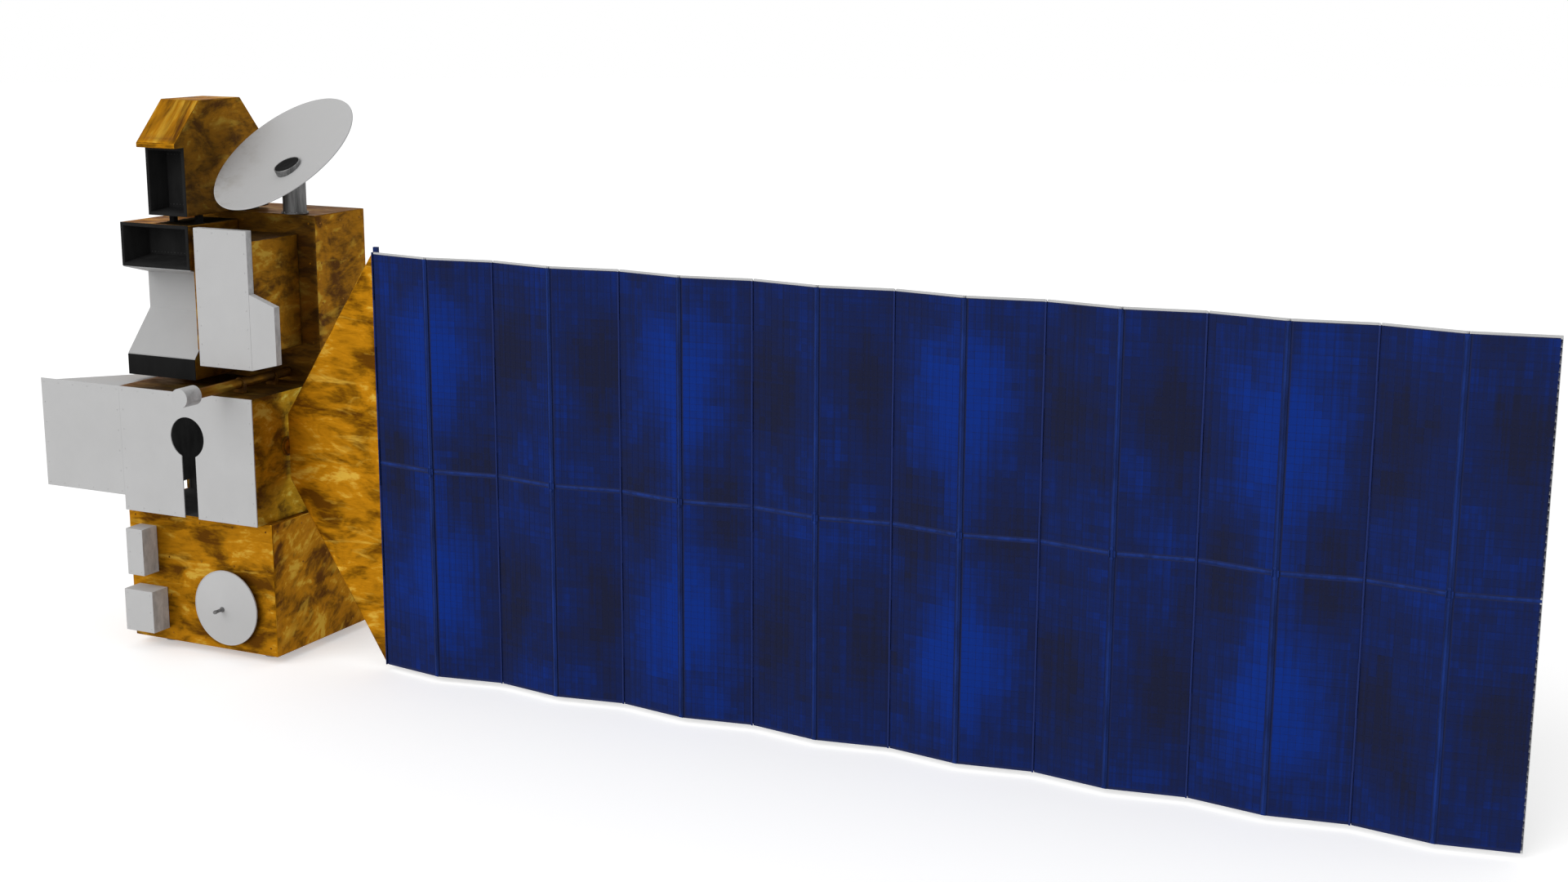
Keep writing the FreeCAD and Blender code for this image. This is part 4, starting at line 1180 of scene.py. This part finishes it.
class SATELLITE_OT_wing_cells(bpy.types.Operator):
    """Lays the solar cells on the front of every wing panel"""
    bl_idname = "satellite.wing_cells"
    bl_label = "Solar cells"

    def execute(self, context):
        look = context.scene.satellite_wing
        tall = (WING_HALF - 2 * CELL_EDGE) / look.rows
        wide = (HINGE_SPAN - FOLD_MARGIN - COVER_MARGIN) / look.columns
        heights = [WING_MIDDLE + side * (CELL_EDGE + tall * (row + 0.5)) for side in (-1, 1)
                   for row in range(look.rows)]
        for odd, place, turn, body, stem in panels():
            start = FOLD_MARGIN if odd else COVER_MARGIN
            spots = [place @ Vector((start + wide * (column + 0.5), -CELL_SUNK, height))
                     for height in heights for column in range(look.columns)]
            points = bpy.data.meshes.new("points")
            points.from_pydata([tuple(spot) for spot in spots], [], [])
            mesh = grown(points, "cells", "solar_cell", Width=wide - look.gap,
                         Height=tall - look.gap, Thickness=look.thickness,
                         Corner=wide * CELL_CLIP, Turn=turn, Root=hinge_axis(2).x,
                         Pitch=HINGE_STEP.x, Half=WING_HALF, Middle=WING_MIDDLE)
            piece(stem + "cells", mesh, body)
        return {"FINISHED"}


class SATELLITE_OT_wing_seams(bpy.types.Operator):
    """Adds the fold covers, the bright beads on them and the seam at half height"""
    bl_idname = "satellite.wing_seams"
    bl_label = "Wing seams"

    def execute(self, context):
        for odd, place, _, body, stem in panels():
            if stem != LAST_STEM:
                bm = bmesh.new()
                self.cover(bm, odd)
                piece(stem + "fold_cover", bm, body,
                      "cover_blue" if odd else "panel_board", place, 30)
            bm = bmesh.new()
            if odd:
                self.bead(bm)
            self.seam(bm, odd)
            piece(stem + "seams", bm, body, "seam_blue", place, 30)
        return {"FINISHED"}

    def cover(self, bm, odd):
        """A low strip fixed to this panel that laps over the gap of its outer fold: in front
        of an odd panel, behind an even one, where the fold opens."""
        outline = [(FOLD_MIDDLE + x * (COVER_LAP if x > 0 else COVER_HALF), -COVER_CLEAR - y)
                   for x, y in dome(8, 1.0, COVER_TALL)]
        outline += [(FOLD_MIDDLE - COVER_HALF, 0.0), (BOARD_END, 0.0), (BOARD_END, -COVER_CLEAR)]
        if not odd:
            outline = [(x, BOARD_THICK - y) for x, y in outline]
        moulding(bm, outline, WING_FOOT + 0.004, WING_TOP - EDGE_BAND)

    def bead(self, bm):
        """A half-round bead down the middle of a front cover, wider at its ends, with four
        small clamps where it crosses the seam."""
        foot = COVER_CLEAR + COVER_TALL - 0.001
        moulding(bm, [(FOLD_MIDDLE + x, -foot - y) for x, y in dome(8, BEAD_HALF, BEAD_TALL)],
                 WING_FOOT + 0.008, WING_TOP - EDGE_BAND - 0.004, flare=1.2)
        for along, up, half_wide, half_tall, reach in CLAMPS:
            x, z = FOLD_MIDDLE + along, WING_MIDDLE + up
            block(bm, (x - half_wide, -reach, z - half_tall),
                  (x + half_wide, -COVER_TALL, z + half_tall), 0.003)

    def seam(self, bm, odd):
        """A low level strip along the panel's front."""
        start = BOARD_INSET + 0.004 if odd else COVER_MARGIN
        end = HINGE_SPAN - COVER_HALF - 0.003 if odd else BOARD_END - 0.004
        loft(bm, [[(along, -y, WING_MIDDLE + x)
                   for x, y in dome(6, SEAM_STRIP_HALF, SEAM_STRIP_TALL)]
                  for along in (start, end)])


class SATELLITE_OT_wing_edges(bpy.types.Operator):
    """Fits white channels along the panels' top edges and down the wing's outer end"""
    bl_idname = "satellite.wing_edges"
    bl_label = "Wing edge channels"

    def execute(self, context):
        wall, thick, band = CHANNEL_WALL, BOARD_THICK, EDGE_BAND
        section = [(-wall, -band), (-wall, wall), (thick + wall, wall), (thick + wall, -band),
                   (thick, -band), (thick, 0.0002), (0.0, 0.0002), (0.0, -band)]
        # the moulding is drawn upward, then laid along the panel
        lay = Matrix(((0, 0, 1, 0), (1, 0, 0, 0), (0, 1, 0, WING_TOP), (0, 0, 0, 1)))
        for _, place, turn, body, stem in panels():
            last = stem == LAST_STEM
            end = BOARD_END
            if last:
                end = WING_END - place.translation.x + thick * max(0.0, math.sin(turn))
                end /= math.cos(turn)
            bm = bmesh.new()
            moulding(bm, section, BOARD_INSET + 0.0015, end - 0.0015)
            bm.transform(lay)
            if last:
                back = end - band
                moulding(bm, [(back, -wall), (end - 0.0004, -wall), (end - 0.0004, thick + wall),
                              (back, thick + wall), (back, thick - 0.001),
                              (end - 0.002, thick - 0.001), (end - 0.002, 0.001), (back, 0.001)],
                         WING_FOOT + 0.001, WING_TOP - band - 0.002)
            piece(stem + "channel", bm, body, "edge_paint", place)
        return {"FINISHED"}


class SATELLITE_OT_wing_backs(bpy.types.Operator):
    """Adds stiffeners, flat cables and clips to the panels' backs"""
    bl_idname = "satellite.wing_backs"
    bl_label = "Wing backs"

    def execute(self, context):
        back = BOARD_THICK - 0.0005
        half, inset, tall = STIFFENER_HALF, STIFFENER_INSET, STIFFENER_TALL
        for _, place, _, body, stem in panels():
            bm = bmesh.new()
            for share in STIFFENER_SHARES:
                height = WING_FOOT + 2 * WING_HALF * share
                block(bm, (inset, back, height - half),
                      (BOARD_END - inset, back + tall, height + half), 0.0015)
            for along in CABLES:
                block(bm, (along - CABLE_HALF, back, WING_FOOT + CABLE_END),
                      (along + CABLE_HALF, back + CABLE_TALL, WING_TOP - CABLE_END), 0.0008)
            piece(stem + "stiffeners", bm, body, "grey_metal", place)
            spots = [place @ Vector((along, back + CLIP_OUT, height)) for along in CABLES
                     for height in evenly(WING_FOOT + CLIP_END, WING_TOP - CLIP_END, CLIP_PITCH)]
            studs(stem + "clips", spots, place.to_3x3() @ BACK, body, CLIP)
        return {"FINISHED"}


class SATELLITE_OT_dish(bpy.types.Operator):
    """Builds the dish as a smooth bowl with a rolled rim and ribs on its back"""
    bl_idname = "satellite.dish"
    bl_label = "Dish"

    def execute(self, context):
        look = context.scene.satellite_dish
        steps, bead = 14, look.rim
        skin = [self.skin(step / steps) for step in range(steps)]
        rim = (BOWL_RADIUS - bead, BOWL_BASE + BOWL_DEPTH + BOWL_THICK / 2 - 0.002)
        arc = [math.radians(turn) for turn in range(-110, 111, 20)]
        outline = skin + [(rim[0] + bead * math.cos(turn), rim[1] + bead * math.sin(turn))
                          for turn in arc]
        outline += [(x, z + BOWL_THICK) for x, z in reversed(skin)]
        bm = bmesh.new()
        self.rib(bm)
        ribs = grown(mesh_from(bm, "rib"), "ring", "dish_paint", Count=look.ribs)
        bm = lathe(96, outline)
        bm.from_mesh(ribs)
        piece("dish_bowl", bm, "dish", "dish_paint", dish_frame(), 30,
              ("dish_reflector",))
        return {"FINISHED"}

    def skin(self, share, under=0.0):
        """A spot on the bowl's back at this share of its radius, or so far under it."""
        return BOWL_RADIUS * share, BOWL_BASE + BOWL_DEPTH * share * share - under

    def rib(self, bm):
        """One radial rib, deepest near the middle and running out before the rim."""
        shares = [0.165, 0.30, 0.45, 0.60, 0.75, 0.875]
        outline = [self.skin(share, -BOWL_THICK / 2) for share in shares]
        outline += [self.skin(share, 0.023 * (1 - max(0.0, share - 0.5) / 0.375))
                    for share in reversed(shares[:-1])]
        loft(bm, [[(x, y, z) for x, z in outline] for y in (-0.004, 0.004)])


class SATELLITE_OT_dish_feed(bpy.types.Operator):
    """Closes the hub with a dark stepped cap and bolts the mast's flanges"""
    bl_idname = "satellite.dish_feed"
    bl_label = "Dish feed and mast bolts"

    def execute(self, context):
        wide, tall = HUB_RADIUS, HUB_TALL
        place = dish_frame() @ self.drum_frame()
        bm = lathe(64, [(0, -0.09), (wide, -0.09), (wide, tall - 0.004), (wide - 0.004, tall),
                        (wide - 0.010, tall), (wide - 0.012, tall - 0.004), (0, tall - 0.004)])
        self.trim_to_bowl(bm)
        piece("dish_hub_drum", bm, "dish", "grey_metal", place, 30, ("dish_hub",))
        bm = lathe(48, [(0, tall - 0.006), (wide - 0.0115, tall - 0.006),
                        (wide - 0.0115, tall - 0.003), (wide - 0.030, tall - 0.001),
                        (0.070, tall - 0.001), (0.066, tall - 0.003), (0.030, tall - 0.003),
                        (0.026, tall), (0, tall)])
        piece("dish_feed_cap", bm, "dish", "black_coating", place, 30)
        low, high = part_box("dish_mast")
        middle = (low + high) / 2
        ring = circle(12, MAST_BOLT_RING, 0.5)
        spots = [(middle.x + x, middle.y + y, height)
                 for height in (low.z + MAST_FLANGE, high.z - MAST_FLANGE) for x, y in ring]
        studs("mast_bolts", spots, [UP] * len(ring) + [DOWN] * len(ring), "bus", STEEL_BOLT)
        return {"FINISHED"}

    def drum_frame(self):
        """The hub drum's axes in the dish's: set a little low in the bowl and turned up
        towards the sky."""
        foot = Vector((0.048, -0.084, BOWL_BASE + BOWL_THICK))
        return (Matrix.Translation(foot) @ Matrix.Rotation(HUB_TURN, 4, "Z")
                @ Matrix.Rotation(HUB_LEAN, 4, "X") @ Matrix.Rotation(-HUB_TURN, 4, "Z"))

    def trim_to_bowl(self, bm):
        """Slides the drum's lower rim along its axis until it lies in the bowl's wall."""
        drum = self.drum_frame()
        up = drum.to_3x3() @ UP
        for vert in [vert for vert in bm.verts if vert.co.z <= 0]:
            for _ in range(12):
                place = drum @ vert.co
                share = place.xy.length / BOWL_RADIUS
                wall = BOWL_BASE + BOWL_THICK / 2 + BOWL_DEPTH * share ** 2
                vert.co.z += (wall - place.z) / up.z * 0.9


class SATELLITE_OT_sensor_tube(bpy.types.Operator):
    """Wraps the long sensor tube in gold foil"""
    bl_idname = "satellite.sensor_tube"
    bl_label = "Sensor tube"

    def execute(self, context):
        low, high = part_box("sensor_tube")
        radius, length = (high.x - low.x) / 2, high.y - low.y
        # the tube's foil gets a painted shade of 0.45
        rings, sunk, pleat, light = 44, 0.0024, 0.0006, 0.45
        bm = lathe(28, [(0, 0), *((radius - sunk - pleat * abs(math.sin(2.4 * ring)),
                                   length * ring / rings) for ring in range(rings + 1)),
                        (0, length)])
        uv = bm.loops.layers.uv.new("blanket")
        shade = bm.faces.layers.float.new("shade")
        for face in bm.faces:
            face[shade] = light
            middle = math.atan2(*face.calc_center_median().yx)
            for loop in face.loops:
                x, y, z = loop.vert.co
                turn = (math.atan2(y, x) - middle + math.pi) % math.tau - math.pi
                loop[uv].uv = (z, (turn + middle) * radius)
        piece("sensor_tube_foil", bm, "bus", "gold_foil",
              forward_frame("sensor_tube"), 30, ("sensor_tube",))
        return {"FINISHED"}


class SATELLITE_OT_disc_antenna(bpy.types.Operator):
    """Rolls a bead round the small antenna's rim and collars its feed rod"""
    bl_idname = "satellite.disc_antenna"
    bl_label = "Small antenna"

    def execute(self, context):
        low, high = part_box("disc_antenna")
        rod_low, rod_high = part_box("disc_feed_rod")
        place = forward_frame("disc_antenna")
        bead, forward = 0.006, 0.014
        edge = (high.x - low.x) / 2 - bead
        rim = lathe(72, [(edge + x, forward + y) for x, y in circle(8, bead)])
        piece("disc_rim", rim, "bus", "white_paint", place, 30)
        rod, end = (rod_high.x - rod_low.x) / 2, high.y - rod_low.y
        collars = lathe(24, *(
            [(rod - 0.001, start), (rod + wide, start), (rod + wide, start + long / 2),
             (rod + wide * 0.5, start + long), (rod - 0.001, start + long)]
            for start, wide, long in ((0.083, 0.014, 0.012), (end - 0.030, 0.004, 0.022))))
        piece("disc_feed_collars", collars, "bus", "grey_metal", place, 30)
        return {"FINISHED"}


class SATELLITE_OT_aperture_screws(bpy.types.Operator):
    """Sets rows of small dark screws along the back walls of the two sensor openings"""
    bl_idname = "satellite.aperture_screws"
    bl_label = "Opening screws"

    def execute(self, context):
        behind, end, pitch = 0.005, 0.02, 0.05
        for name, node, shares in (("brow_aperture", "scanner_brow_mask", (0.07,)),
                                   ("hood_aperture", "sensor_hood_mask", (0.05, 0.95))):
            low, high = opening(name)
            spots = [(x, high.y + behind, low.z + share * (high.z - low.z)) for share in shares
                     for x in evenly(low.x + end, high.x - end, pitch)]
            studs(node + "_screws", spots, FRONT, "bus", BLACK_SCREW)
        return {"FINISHED"}


class SATELLITE_OT_fasteners(bpy.types.Operator):
    """Sets rows of screws in the covers, radiators, boxes, feet and drive"""
    bl_idname = "satellite.fasteners"
    bl_label = "Fasteners"

    def execute(self, context):
        for node in ("keyhole_cover", "shade_panel", "radiator_panel", "electronics_box_upper",
                     "electronics_box_lower"):
            studs(node + "_screws", self.border(node), FRONT, "bus", WHITE_SCREW)
        feet = [centre("foot_" + name) for name in ("front_left", "front_right", "rear_left",
                                                    "rear_right")]
        spots = [(foot.x + x, foot.y + y, FOOT_TOP) for foot in feet
                 for x, y in circle(8, FOOT_BOLT_RING)]
        studs("foot_bolts", spots, UP, "bus", STEEL_BOLT)
        middle, face = centre("drive_flange"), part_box("drive_flange")[1].x + 0.002
        spots = [(face, middle.y + y, middle.z + z) for y, z in circle(12, DRIVE_BOLT_RING)]
        studs("drive_bolts", spots, RIGHT, "bus", GOLD_BOLT)
        return {"FINISHED"}

    def border(self, node):
        """Spots round the node's front face, inside its edges and clear of the slot."""
        inset, pitch, out, clear = Vector((0.045, 0, 0.045)), 0.24, 0.0012, 0.02
        low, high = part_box(node)
        low, high, face = low + inset, high - inset, low.y - out
        spots = [(x, face, z) for x in evenly(low.x, high.x, pitch) for z in (low.z, high.z)]
        spots += [(x, face, z) for z in evenly(low.z, high.z, pitch)[1:-1]
                  for x in (low.x, high.x)]
        slot = opening("keyhole_slot")
        return [(x, y, z) for x, y, z in spots if node != "keyhole_cover" or z > slot[1].z
                or not slot[0].x - clear < x < slot[1].x + clear]


# ---- the add-on ----

OPERATORS = (
    SATELLITE_OT_stage, SATELLITE_OT_finishes, SATELLITE_OT_blankets, SATELLITE_OT_wing_cells,
    SATELLITE_OT_wing_seams, SATELLITE_OT_wing_edges, SATELLITE_OT_wing_backs,
    SATELLITE_OT_dish, SATELLITE_OT_dish_feed, SATELLITE_OT_sensor_tube,
    SATELLITE_OT_disc_antenna, SATELLITE_OT_aperture_screws, SATELLITE_OT_fasteners,
)
SETTINGS = {"satellite_foil": FoilSettings, "satellite_coating": CoatingSettings,
            "satellite_wing": WingSettings, "satellite_dish": DishSettings,
            "satellite_stage": StageSettings}


class SATELLITE_PT_sidebar(bpy.types.Panel):
    """Lists the satellite's build steps in the order they run"""
    bl_label = "Satellite"
    bl_space_type = "VIEW_3D"
    bl_region_type = "UI"
    bl_category = "Satellite"

    def draw(self, context):
        for operator in OPERATORS:
            self.layout.operator(operator.bl_idname)
        for name, group in SETTINGS.items():
            box = self.layout.box()
            for label in group.__annotations__:
                box.prop(getattr(context.scene, name), label)


def register():
    for name, group in SETTINGS.items():
        bpy.utils.register_class(group)
        setattr(bpy.types.Scene, name, bpy.props.PointerProperty(type=group))
    for kind in (*OPERATORS, SATELLITE_PT_sidebar):
        bpy.utils.register_class(kind)


def unregister():
    for kind in (*OPERATORS, SATELLITE_PT_sidebar):
        bpy.utils.unregister_class(kind)
    for name, group in SETTINGS.items():
        delattr(bpy.types.Scene, name)
        bpy.utils.unregister_class(group)


def main():
    register()
    for operator in OPERATORS:
        group, name = operator.bl_idname.split(".")
        getattr(getattr(bpy.ops, group), name)()


if __name__ == "__main__":
    main()
